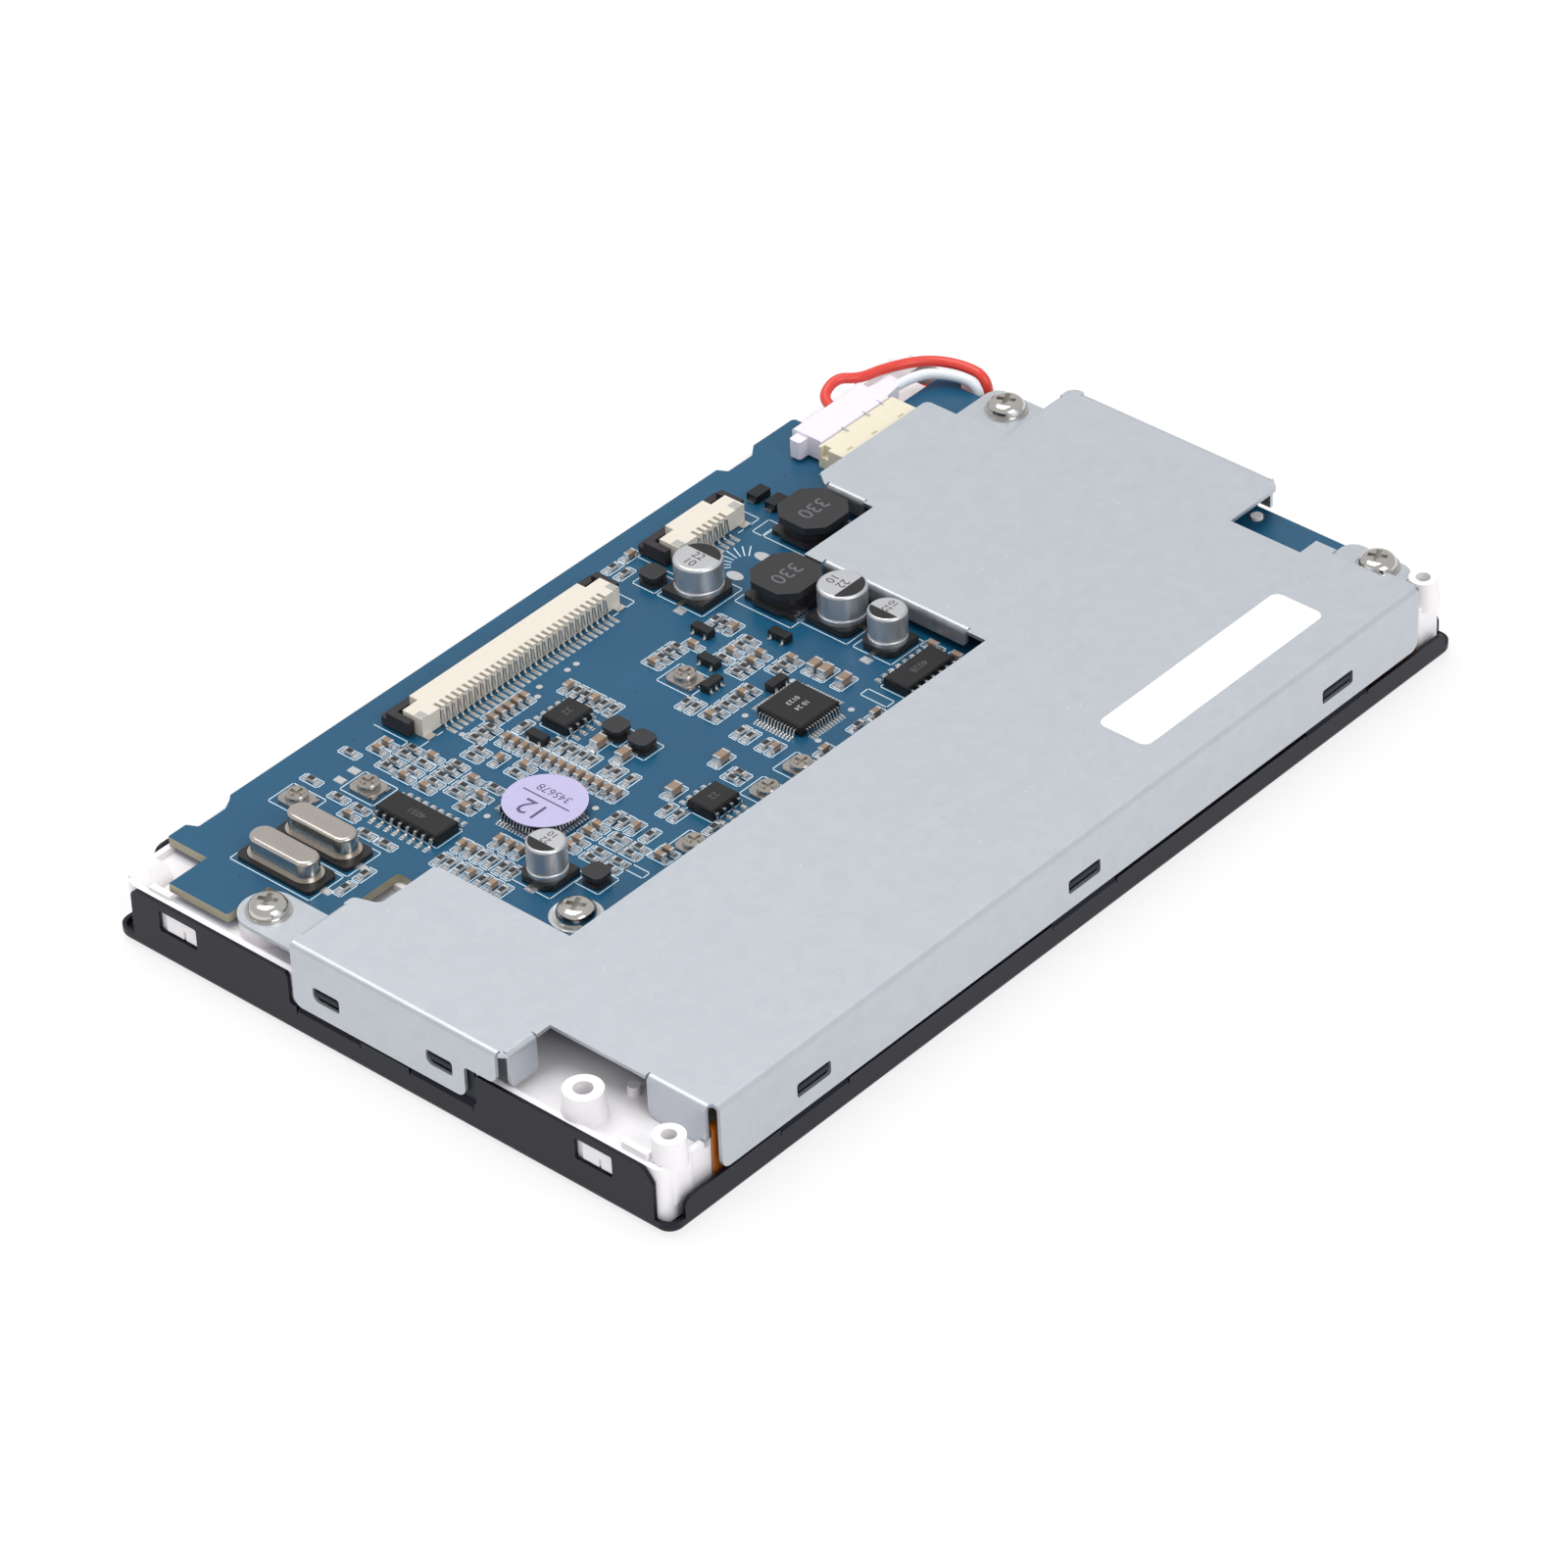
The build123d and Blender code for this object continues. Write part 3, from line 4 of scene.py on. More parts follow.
import bpy
import numpy as np
from mathutils import Matrix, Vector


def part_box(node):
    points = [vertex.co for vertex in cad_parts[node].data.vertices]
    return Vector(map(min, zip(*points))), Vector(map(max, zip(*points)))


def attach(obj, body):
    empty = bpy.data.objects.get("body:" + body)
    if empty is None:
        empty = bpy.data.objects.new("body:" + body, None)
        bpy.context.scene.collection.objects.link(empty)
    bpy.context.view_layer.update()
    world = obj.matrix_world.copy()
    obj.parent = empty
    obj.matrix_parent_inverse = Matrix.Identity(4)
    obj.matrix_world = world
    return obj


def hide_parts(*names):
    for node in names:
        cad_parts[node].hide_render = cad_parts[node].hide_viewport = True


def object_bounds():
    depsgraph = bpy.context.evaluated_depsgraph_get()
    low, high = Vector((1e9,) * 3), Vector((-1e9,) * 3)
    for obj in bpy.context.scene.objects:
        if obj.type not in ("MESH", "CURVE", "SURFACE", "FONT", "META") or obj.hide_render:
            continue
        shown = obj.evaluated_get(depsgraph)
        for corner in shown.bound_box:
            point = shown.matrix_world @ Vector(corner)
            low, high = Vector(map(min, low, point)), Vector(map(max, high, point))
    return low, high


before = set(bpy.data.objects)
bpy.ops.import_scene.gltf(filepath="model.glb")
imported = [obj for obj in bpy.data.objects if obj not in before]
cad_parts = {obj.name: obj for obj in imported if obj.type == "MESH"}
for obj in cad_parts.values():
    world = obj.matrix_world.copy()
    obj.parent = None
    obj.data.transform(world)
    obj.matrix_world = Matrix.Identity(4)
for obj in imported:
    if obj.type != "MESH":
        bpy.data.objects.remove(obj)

cad_box = [list(corner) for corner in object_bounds()]


# Camera: a long lens over the near left corner, turned a little about its own axis as in the photograph.
MM = 0.001
CORNER = np.array(cad_box[0])
FOCAL_PX, PHOTO_PX, SENSOR_MM = 7539.3, 1600, 36.0
AZIMUTH, ELEVATION, ROLL = math.radians(-47.152), math.radians(36.886), math.radians(-2.511)
AIM = CORNER + np.array([65.289, 40.410, 6.4]) * MM
DISTANCE = 882.79 * MM

back = np.array([
    math.sin(AZIMUTH) * math.cos(ELEVATION), -math.cos(AZIMUTH) * math.cos(ELEVATION), math.sin(ELEVATION),
])
right = np.cross([0, 0, 1.0], back)
right /= np.linalg.norm(right)
up = np.cross(back, right)
right, up = math.cos(ROLL) * right + math.sin(ROLL) * up, -math.sin(ROLL) * right + math.cos(ROLL) * up
camera_data = bpy.data.cameras.new("camera")
camera_data.lens = FOCAL_PX / PHOTO_PX * SENSOR_MM
camera_data.sensor_width = SENSOR_MM
camera_data.clip_start = 0.01
camera = bpy.data.objects.new("camera", camera_data)
pose = np.eye(4)
pose[:3, 0], pose[:3, 1], pose[:3, 2], pose[:3, 3] = right, up, back, AIM + back * DISTANCE
camera.matrix_world = Matrix(pose.tolist())
bpy.context.scene.collection.objects.link(camera)
bpy.context.scene.camera = camera
bpy.context.scene.view_settings.view_transform = "Standard"


# Wires: silicone-insulated lamp leads, red and white, crimped in the plug and led round to the channel in the frame.
# The insulation is extruded and smooth, with a soft sheen that shows as a pale streak along the bend.
def linear(hex_colour):
    """An sRGB hex colour as linear red, green, blue and alpha."""
    c = np.array([int(hex_colour[i : i + 2], 16) for i in (1, 3, 5)]) / 255
    c = np.where(c <= 0.04045, c / 12.92, ((c + 0.055) / 1.055) ** 2.4)
    return (*c.tolist(), 1.0)


def add(tree, kind, sockets=None, **settings):
    """Adds one node. A socket's value is a constant, or another node with the name or number of its output."""
    new = tree.nodes.new(kind)
    for key, value in settings.items():
        setattr(new, key, value)
    for key, value in (sockets or {}).items():
        if isinstance(value, tuple) and isinstance(value[0], bpy.types.Node):
            tree.links.new(value[0].outputs[value[1]], new.inputs[key])
        else:
            new.inputs[key].default_value = value
    return new


def finish(name, dark, light, grain_mm, rough, bump_mm=0.0, metal=0.0):
    """A surface whose colour drifts between two hex values over a grain of the given size, with a matching bump.
    Returns the material, its tree, its shader and the Object coordinates."""
    made = bpy.data.materials.new(name)
    made.use_nodes = True
    tree = made.node_tree
    tree.nodes.clear()
    coords = add(tree, "ShaderNodeTexCoord")
    noise = add(tree, "ShaderNodeTexNoise", {"Vector": (coords, "Object"), "Scale": 1000 / grain_mm, "Detail": 4.0})
    colour = add(tree, "ShaderNodeMix", {0: (noise, 0), 6: linear(dark), 7: linear(light)}, data_type="RGBA")
    shader = add(tree, "ShaderNodeBsdfPrincipled", {"Base Color": (colour, 2), "Roughness": rough, "Metallic": metal})
    if bump_mm:
        bump = add(tree, "ShaderNodeBump", {"Height": (noise, 0), "Distance": bump_mm * MM, "Strength": 1.0})
        tree.links.new(bump.outputs[0], shader.inputs["Normal"])
    out = add(tree, "ShaderNodeOutputMaterial", {"Surface": (shader, 0)})
    out.name = "out"
    return made, tree, shader, coords


def placed(points):
    """Points in millimetres from the module's corner, as metres in the row frame."""
    return np.asarray(points, float) * MM + CORNER


RED_WIRE = [
    (123.6, 81.8, 11.6), (123.6, 85.4, 11.6), (127.6, 86.4, 12.9), (129.8, 84.0, 12.6), (134.4, 84.2, 11.6),
    (139.6, 81.6, 11.4), (141.9, 77.4, 11.2), (142.0, 72.9, 10.9), (142.0, 73.2, 5.2), (141.8, 79.4, 4.9),
    (141.8, 84.6, 5.1), (138.8, 84.6, 5.1),
]
WHITE_WIRE = [
    (131.0, 80.6, 11.3), (136.2, 80.6, 11.3), (139.4, 77.6, 11.0), (140.4, 72.9, 10.8), (140.4, 73.2, 4.4),
    (140.3, 77.6, 3.8), (140.6, 81.4, 3.65), (141.0, 84.1, 3.65), (138.8, 84.1, 3.65),
]
WIRE_MM = 1.4


def wire(name, points, node, insulation):
    """A lead as a NURBS curve whose control points are the route's corners, with a round section."""
    data = bpy.data.curves.new(name, "CURVE")
    data.dimensions = "3D"
    data.bevel_depth = WIRE_MM / 2 * MM
    data.bevel_resolution = 5
    data.resolution_u = 10
    data.use_fill_caps = True
    spline = data.splines.new("NURBS")
    spline.points.add(len(points) - 1)
    co = np.ones((len(points), 4))
    co[:, :3] = placed(points)
    spline.points.foreach_set("co", co.ravel())
    spline.order_u = 3
    spline.use_endpoint_u = True
    data.materials.append(insulation)
    lead = bpy.data.objects.new(name, data)
    bpy.context.scene.collection.objects.link(lead)
    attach(lead, "module")
    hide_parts(node)


red_rubber = finish("red_silicone", "#D8392F", "#E24A40", 2.0, 0.34)[0]
white_rubber = finish("white_silicone", "#DDE3EA", "#EEF2F6", 2.0, 0.36)[0]
wire("red_lead", RED_WIRE, "red_wire", red_rubber)
wire("white_lead", WHITE_WIRE, "white_wire", white_rubber)


# Floor and light: a white sheet under the module, one large soft box above and behind it, a weaker one in front,
# and a pale room all round. The floor glows to the camera, to mirrors and to glass. The room shows white to the
# camera and to glass, and is dimmer to everything else.
FLOOR_HALF_M, FLOOR_DROP_M = 3.0, 0.0004
floor_mesh = bpy.data.meshes.new("floor")
floor_mesh.from_pydata(
    [(x * FLOOR_HALF_M, y * FLOOR_HALF_M, -FLOOR_DROP_M) for x, y in ((-1, -1), (1, -1), (1, 1), (-1, 1))],
    [], [(0, 1, 2, 3)],
)
floor = bpy.data.objects.new("floor", floor_mesh)
bpy.context.scene.collection.objects.link(floor)
paper, tree, shader, coords = finish("white_sheet", "#F1F1F1", "#F6F6F6", 40.0, 0.9)
rays = add(tree, "ShaderNodeLightPath")
glossy = add(tree, "ShaderNodeMath", {0: (rays, "Is Camera Ray"), 1: (rays, "Is Glossy Ray")}, operation="MAXIMUM")
seen = add(tree, "ShaderNodeMath", {0: (glossy, 0), 1: (rays, "Is Transmission Ray")}, operation="MAXIMUM")
share = add(tree, "ShaderNodeMath", {0: (seen, 0), 1: 0.8}, operation="MULTIPLY")
glow = add(tree, "ShaderNodeEmission", {"Color": (1, 1, 1, 1), "Strength": 1.0})
mixed = add(tree, "ShaderNodeMixShader", {0: (share, 0), 1: (shader, 0), 2: (glow, 0)})
tree.links.new(mixed.outputs[0], tree.nodes["out"].inputs["Surface"])
floor_mesh.materials.append(paper)

ROOM_LIGHT = 0.62
world = bpy.data.worlds.new("room")
bpy.context.scene.world = world
world.use_nodes = True
tree = world.node_tree
tree.nodes.clear()
rays = add(tree, "ShaderNodeLightPath")
seen = add(
    tree, "ShaderNodeMath", {0: (rays, "Is Camera Ray"), 1: (rays, "Is Transmission Ray")}, operation="MAXIMUM"
)
bright = add(tree, "ShaderNodeMapRange", {"Value": (seen, 0), "To Min": ROOM_LIGHT, "To Max": 1.0})
sky = add(tree, "ShaderNodeBackground", {"Color": (1, 1, 1, 1), "Strength": (bright, 0)})
add(tree, "ShaderNodeOutputWorld", {"Surface": (sky, 0)})


def soft_box(name, place, width, power):
    """A square area lamp that faces the module, at a place in metres."""
    data = bpy.data.lights.new(name, "AREA")
    data.size = width
    data.energy = power
    lamp = bpy.data.objects.new(name, data)
    bpy.context.scene.collection.objects.link(lamp)
    away = np.array(place, float)
    away /= np.linalg.norm(away)
    side = np.cross([0.0, 1.0, 0.0], away)
    side /= np.linalg.norm(side)
    matrix = np.eye(4)
    matrix[:3, 0], matrix[:3, 1], matrix[:3, 2], matrix[:3, 3] = side, np.cross(away, side), away, place
    lamp.matrix_world = Matrix(matrix.tolist())


soft_box("top_box", (0.0, 0.7, 2.4), 1.6, 35.0)
soft_box("front_box", (-0.35, -2.0, 1.4), 1.4, 19.0)


# Front bezel: cold-rolled steel sheet, pressed and bent. Baked satin black paint gives it a fine orange peel and a
# soft bluish shine.
def dress(node, *materials):
    """Gives a CAD node its materials, and drops the plain one it came with."""
    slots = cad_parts[node].data.materials
    slots.clear()
    for one in materials:
        slots.append(one)


black_paint, tree, shader, coords = finish("baked_black_paint", "#0D0D14", "#14141C", 0.5, 0.4, bump_mm=0.004)
shader.inputs["Specular IOR Level"].default_value = 0.32
shader.inputs["Specular Tint"].default_value = linear("#E4E8FF")
dress("front_bezel", black_paint)


# Display layers: two glasses between polariser films, then the backlight's films and its acrylic light guide.
# From outside only the dark front film shows, a hard-coated triacetate sheet with an anti-glare haze.
polariser = finish("anti_glare_film", "#0D0E10", "#121316", 0.2, 0.28, bump_mm=0.001)[0]
dress("front_polariser", polariser)
dress("rear_polariser", polariser)
float_glass, tree, shader, coords = finish("thin_float_glass", "#C9D2CF", "#D3DBD8", 5.0, 0.06)
shader.inputs["Transmission Weight"].default_value = 0.85
shader.inputs["IOR"].default_value = 1.52
dress("colour_filter_glass", float_glass)
dress("lower_glass", float_glass)
acrylic, tree, shader, coords = finish("cast_acrylic", "#E4EAEA", "#EDF2F2", 8.0, 0.1)
shader.inputs["Transmission Weight"].default_value = 0.6
shader.inputs["IOR"].default_value = 1.49
dress("light_guide", acrylic)
frosted = finish("frosted_polyester", "#EEEEEC", "#F5F5F3", 0.3, 0.6)[0]
dress("diffuser_films", frosted)
dress("reflector_sheet", frosted)


# Backlight lamp: a thin phosphor-coated tube in a folded foil reflector, with a silicone holder on each end.
# The phosphor is chalky through clear glass, and the foil is a soft mirror.
dress("backlight_lamp", finish("phosphor_glass", "#EDEDE6", "#F6F6F0", 1.0, 0.2)[0])
dress("lamp_reflector", finish("polished_foil", "#CDCFD2", "#DCDEE0", 1.5, 0.2, metal=1.0)[0])
dress("lamp_holders", white_rubber)


# Moulded frame: white polycarbonate, injection moulded in one piece, with a faint sparked texture from the tool.
dress("moulded_frame", finish("moulded_white_polycarbonate", "#EEEBEE", "#F5F3F5", 0.35, 0.46, bump_mm=0.005)[0])


# Main board: glass-fibre laminate under a glossy blue solder mask. Small covered vias show in it as dark specks,
# and the routed edge is bare tan laminate.
VIA_APART_MM, VIA_CELL_SHARE = 3.2, 0.042
board_mask, tree, shader, coords = finish("blue_solder_mask", "#0F4A6C", "#155777", 12.0, 0.3, bump_mm=0.004)
specks = add(tree, "ShaderNodeTexVoronoi", {"Vector": (coords, "Object"), "Scale": 1000 / VIA_APART_MM})
via = add(tree, "ShaderNodeMath", {0: (specks, "Distance"), 1: VIA_CELL_SHARE}, operation="LESS_THAN")
plain = shader.inputs["Base Color"].links[0].from_node
drilled = add(tree, "ShaderNodeMix", {0: (via, 0), 6: (plain, 2), 7: linear("#0D2A44")}, data_type="RGBA")
facing = add(tree, "ShaderNodeNewGeometry")
normal = add(tree, "ShaderNodeSeparateXYZ", {0: (facing, "Normal")})
upward = add(tree, "ShaderNodeMath", {0: (normal, 2)}, operation="ABSOLUTE")
flat = add(tree, "ShaderNodeMath", {0: (upward, 0), 1: 0.5}, operation="GREATER_THAN")
edged = add(tree, "ShaderNodeMix", {0: (flat, 0), 6: linear("#A39D84"), 7: (drilled, 2)}, data_type="RGBA")
tree.links.new(edged.outputs[2], shader.inputs["Base Color"])
dress("main_board", board_mask)


# Small chips: fired ceramic blocks with tinned ends, each soldered to two pads. Resistors are thin with a black
# glaze on top, capacitors are thicker and brown all through. The reflowed solder is bright and climbs each end.
def piece(name, verts, faces, materials, indices, slot):
    """A new mesh from points in millimetres from the module's corner, riding on the module."""
    mesh = bpy.data.meshes.new(name)
    mesh.from_pydata(placed(verts).tolist(), [], np.asarray(faces).tolist())
    for one in materials:
        mesh.materials.append(one)
    if indices is not None:
        mesh.polygons.foreach_set("material_index", np.asarray(indices, np.int32))
    made = bpy.data.objects.new(name, mesh)
    bpy.context.scene.collection.objects.link(made)
    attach(made, "module")
    return made


HEX_FACES = np.array([[0, 3, 2, 1], [4, 5, 6, 7], [0, 1, 5, 4], [1, 2, 6, 5], [2, 3, 7, 6], [3, 0, 4, 7]])


def hexes(low, high, taper=0.0):
    """Blocks between pairs of opposite corners, whose tops are drawn in by the taper on each side."""
    low, high = np.atleast_2d(low).astype(float), np.atleast_2d(high).astype(float)
    pick = np.array([[0, 0], [1, 0], [1, 1], [0, 1]])
    ends = np.stack([low, high])
    base = np.stack([ends[pick[:, 0], :, 0], ends[pick[:, 1], :, 1]], axis=-1).transpose(1, 0, 2)
    inward = np.where(pick == 0, 1, -1)[None] * taper
    bottom = np.concatenate([base, np.broadcast_to(low[:, None, 2:], (len(low), 4, 1))], axis=2)
    top = np.concatenate([base + inward, np.broadcast_to(high[:, None, 2:], (len(low), 4, 1))], axis=2)
    verts = np.concatenate([bottom, top], axis=1).reshape(-1, 3)
    faces = (HEX_FACES[None] + 8 * np.arange(len(low))[:, None, None]).reshape(-1, 4)
    return verts, faces


def joined(parts):
    """Several (verts, faces, material index) sets as one."""
    verts, faces, indices, start = [], [], [], 0
    for v, f, index in parts:
        verts.append(v)
        faces.append(f + start)
        indices.append(np.full(len(f), index))
        start += len(v)
    return np.concatenate(verts), np.concatenate(faces), np.concatenate(indices)


def corners(node):
    """A CAD node's lowest and highest corner at rest, in millimetres from the module's corner."""
    low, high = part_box(node)
    return (np.array(low) - CORNER) / MM, (np.array(high) - CORNER) / MM


def islands(node, count):
    """The lowest and highest corner of each of the equal solids in a CAD node, in millimetres from the corner."""
    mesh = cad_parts[node].data
    co = np.zeros(len(mesh.vertices) * 3)
    mesh.vertices.foreach_get("co", co)
    co = (co.reshape(count, -1, 3) - CORNER) / MM
    return co.min(1), co.max(1)


def span(low, high, start, stop, widen, z0, z1):
    """Boxes cut to a stretch of their long side, in millimetres from its middle, widened across it, between two
    heights."""
    rows = np.arange(len(low))
    run = np.argmax((high - low)[:, :2], axis=1)
    a, b, middle = low.copy(), high.copy(), (low + high) / 2
    a[rows, run], b[rows, run] = middle[rows, run] + start, middle[rows, run] + stop
    a[rows, 1 - run] -= widen
    b[rows, 1 - run] += widen
    a[:, 2], b[:, 2] = z0, z1
    return a, b


BOARD_TOP = corners("main_board")[1][2]
PAD_TOP = BOARD_TOP + 0.03
CAP_MM, PAD_PAST_MM, SOLDER_PAST_MM, LEAST_MM = 0.34, 0.5, 0.42, 0.02
CORE_IN_MM, CORE_LIFT_MM, CORE_SUNK_MM = 0.2, 0.06, 0.03
GLAZE_IN_MM, GLAZE_DEEP_MM, GLAZE_SUNK_MM = 0.05, 0.04, 0.015
SKIN_MM, SOLDER_UNDER_MM, PAD_UNDER_MM, PAD_WIDEN_MM = 0.01, 0.05, 0.25, 0.08
SOLDER_HIGH_MM, SOLDER_WIDEN_MM, SOLDER_TAPER_MM, CAP_TAPER_MM = 0.3, 0.02, 0.16, 0.03
tin = finish("reflowed_tin", "#D3D5D8", "#EEEFF1", 0.3, 0.24, bump_mm=0.015, metal=0.8)[0]
black_glaze = finish("black_resistor_glaze", "#1C1C20", "#2C2C30", 0.6, 0.3)[0]
brown_ceramic = finish("brown_titanate_ceramic", "#7C6655", "#A58D78", 2.5, 0.42)[0]
white_alumina = finish("white_alumina", "#BDBCB8", "#CFCECA", 0.4, 0.5)[0]
chip_boxes = []
for node, count, slot, glaze, side in (
    ("chip_resistors", 90, "resistor_ceramic", black_glaze, white_alumina),
    ("chip_capacitors", 67, "capacitor_ceramic", brown_ceramic, brown_ceramic),
):
    low, high = islands(node, count)
    chip_boxes.append((low, high))
    half = (high - low)[:, :2].max(1) / 2
    tops = high[:, 2]
    core_low, core_high = BOARD_TOP + CORE_LIFT_MM, tops - CORE_SUNK_MM
    core = span(low, high, -half + CORE_IN_MM, half - CORE_IN_MM, -SKIN_MM, core_low, core_high)
    start, stop = -half + CAP_MM - SKIN_MM, half - CAP_MM + SKIN_MM
    top = span(low, high, start, stop, -GLAZE_IN_MM, tops - GLAZE_DEEP_MM, tops - GLAZE_SUNK_MM)
    parts = [(*hexes(*core), 0), (*hexes(*top), 1)]
    for sign in (-1, 1):
        near, far = (half - CAP_MM, half) if sign > 0 else (-half, CAP_MM - half)
        cap = span(low, high, near, far, 0.0, BOARD_TOP + LEAST_MM, tops)
        near, far = half - SOLDER_UNDER_MM, half + SOLDER_PAST_MM
        near, far = (near, far) if sign > 0 else (-far, -near)
        heap = span(low, high, near, far, SOLDER_WIDEN_MM, PAD_TOP - SKIN_MM, BOARD_TOP + SOLDER_HIGH_MM)
        near, far = half - PAD_UNDER_MM, half + PAD_PAST_MM
        near, far = (near, far) if sign > 0 else (-far, -near)
        pad = span(low, high, near, far, PAD_WIDEN_MM, BOARD_TOP, PAD_TOP)
        parts += [(*hexes(*cap, CAP_TAPER_MM), 2), (*hexes(*heap, SOLDER_TAPER_MM), 2), (*hexes(*pad), 2)]
    verts, faces, indices = joined(parts)
    dressed = piece(node + "_soldered", verts, faces, [side, glaze, tin], indices, slot)
    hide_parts(node)


# Bare pads: round test pads, oval jumper pads, earthing rings and the pads that stick out under larger parts,
# all of tinned copper in openings of the mask.
TEST_PADS = [
    (35.4, 60.8), (44.6, 51.8), (69.5, 50.2), (78.4, 50.4), (78.4, 41.0), (71.2, 40.0), (45.4, 74.3), (58.3, 73.6),
    (63.0, 73.3), (64.6, 73.3), (56.7, 72.4),
]
TEST_PAD_R = 0.42
OVAL_PADS = [(90.5, 70.5), (95.7, 70.5)]
OVAL_R = (0.8, 1.25)
BLOCK_PADS = [(13.0, 65.5), (18.9, 65.6), (80.7, 70.8), (87.2, 46.2), (28.3, 47.1), (29.6, 79.4), (32.0, 79.4)]
BLOCK_PAD = np.array([0.55, 0.75])
SOLDERED_HIGH_MM, SOLDERED_TAPER_MM = 0.12, 0.08


def rounds(places, radii, steps=28):
    """Flat discs or ovals on the board, one many-sided face for each place, wound to face up."""
    a = np.linspace(0, 2 * np.pi, steps, endpoint=False)
    circle = np.stack([np.cos(a), np.sin(a)], axis=1)
    places = np.asarray(places, float)
    flat = places[:, None, :] + circle[None] * np.asarray(radii, float)
    verts = np.concatenate([flat.reshape(-1, 2), np.full((len(places) * steps, 1), PAD_TOP)], axis=1)
    return verts, np.arange(len(places) * steps).reshape(-1, steps)


verts, faces = rounds(TEST_PADS, TEST_PAD_R)
piece("test_pads", verts, faces, [tin], None, "tin_plate")
verts, faces = rounds(OVAL_PADS, OVAL_R)
piece("oval_pads", verts, faces, [tin], None, "tin_plate")
middle = np.array(BLOCK_PADS)
ground = np.full(len(middle), BOARD_TOP)
pad_low, pad_high = np.c_[middle - BLOCK_PAD, ground], np.c_[middle + BLOCK_PAD, ground + SOLDERED_HIGH_MM]
blocks = hexes(pad_low, pad_high, SOLDERED_TAPER_MM)
piece("block_pads", *blocks, [tin], None, "tin_plate")


def ring(x, y, z, r0, r1, steps=64):
    """A flat ring, as quads between two circles."""
    a = np.linspace(0, 2 * np.pi, steps, endpoint=False)
    circle = np.stack([np.cos(a), np.sin(a), np.zeros(steps)], axis=1)
    verts = np.concatenate([circle * r0, circle * r1]) + [x, y, z]
    i = np.arange(steps)
    j = (i + 1) % steps
    return verts, np.stack([i, i + steps, j + steps, j], axis=1)


screw_low, screw_high = islands("mounting_screws", 4)
screw_places = (screw_low + screw_high)[:, :2] / 2
BOARD_SCREW = 1
EARTH_RING_R = (1.6, 3.3)
verts, faces = ring(*screw_places[BOARD_SCREW], PAD_TOP, *EARTH_RING_R)
piece("earthing_ring", verts, faces, [tin], None, "tin_plate")


# Printed legend: pale epoxy ink, screened on the mask as an outline round each part.
ink = finish("pale_legend_ink", "#C2D6E3", "#D3E3ED", 0.5, 0.6)[0]
INK_WIDE = 0.16
INK_TOP = BOARD_TOP + 0.02
CHIP_INK_PAST_MM, CHIP_INK_WIDEN_MM = 0.72, 0.3


def sides(low, high):
    """The four sides of each box as lines from point to point."""
    a = np.concatenate([low[:, :2], high[:, :2]], axis=1)
    return np.concatenate([a[:, [0, 1, 2, 1]], a[:, [2, 1, 2, 3]], a[:, [2, 3, 0, 3]], a[:, [0, 3, 0, 1]]])


def strokes(lines, wide=INK_WIDE):
    """Flat ink strokes along lines, each a thin quad that runs half its width past both ends."""
    a, b = np.asarray(lines, float)[:, :2], np.asarray(lines, float)[:, 2:]
    along = (b - a) / np.linalg.norm(b - a, axis=1, keepdims=True) * wide / 2
    across = np.stack([-along[:, 1], along[:, 0]], axis=1)
    quads = np.stack([a - along - across, b + along - across, b + along + across, a - along + across], axis=1)
    verts = np.concatenate([quads.reshape(-1, 2), np.full((4 * len(a), 1), INK_TOP)], axis=1)
    return verts, np.arange(4 * len(a)).reshape(-1, 4)


lines = []
for low, high in chip_boxes:
    half = (high - low)[:, :2].max(1) / 2
    reach = half + CHIP_INK_PAST_MM
    lines.append(sides(*span(low, high, -reach, reach, CHIP_INK_WIDEN_MM, 0, 0)))
for node, count, margin in (
    ("crystal_bases", 2, 0.45), ("capacitor_bases", 4, 0.45), ("trimmer_bodies", 6, 0.5),
    ("small_inductors", 4, 0.35),
):
    low, high = islands(node, count)
    lines.append(sides(low - margin, high + margin))
for node, margin in (
    ("power_inductor_1", 0.5), ("power_inductor_2", 0.5), ("amplifier_chip_a", 0.25), ("amplifier_chip_b", 0.25),
    ("logic_chip_a", 0.3), ("logic_chip_b", 0.3),
):
    low, high = corners(node)
    lines.append(sides(low[None] - margin, high[None] + margin))
# Connector ends, a polarity hatch beside a can, and two outlines of parts that aren't fitted.
for one in ("long_connector", "small_connector"):
    low, high = corners(one + "_slider")
    near = corners(one + "_housing")[0][1] - 0.9
    lines.append([
        (low[0] - 0.5, near, low[0] - 0.5, high[1] + 0.6), (low[0] - 0.5, near, low[0] + 3.6, near),
        (high[0] + 0.5, near, high[0] + 0.5, high[1] + 0.6), (high[0] - 3.4, near, high[0] + 0.5, near),
    ])
HATCH, HATCH_DEGREES = (93.1, 70.8, 2.1, 4.1), np.arange(35, 146, 15)
fan = np.radians(HATCH_DEGREES)
x, y, r0, r1 = HATCH
lines.append(np.stack(
    [x + r0 * np.cos(fan), y + r0 * np.sin(fan), x + r1 * np.cos(fan), y + r1 * np.sin(fan)], axis=1
))
UNFITTED = np.array([[38.0, 38.3, 39.3, 41.0], [81.4, 38.0, 82.9, 42.2], [99.0, 73.4, 102.2, 75.2]])
lines.append(sides(UNFITTED[:, :2], UNFITTED[:, 2:]))
verts, faces = strokes(np.concatenate([np.asarray(one, float) for one in lines]))
piece("printed_legend", verts, faces, [ink], None, "blue_board")


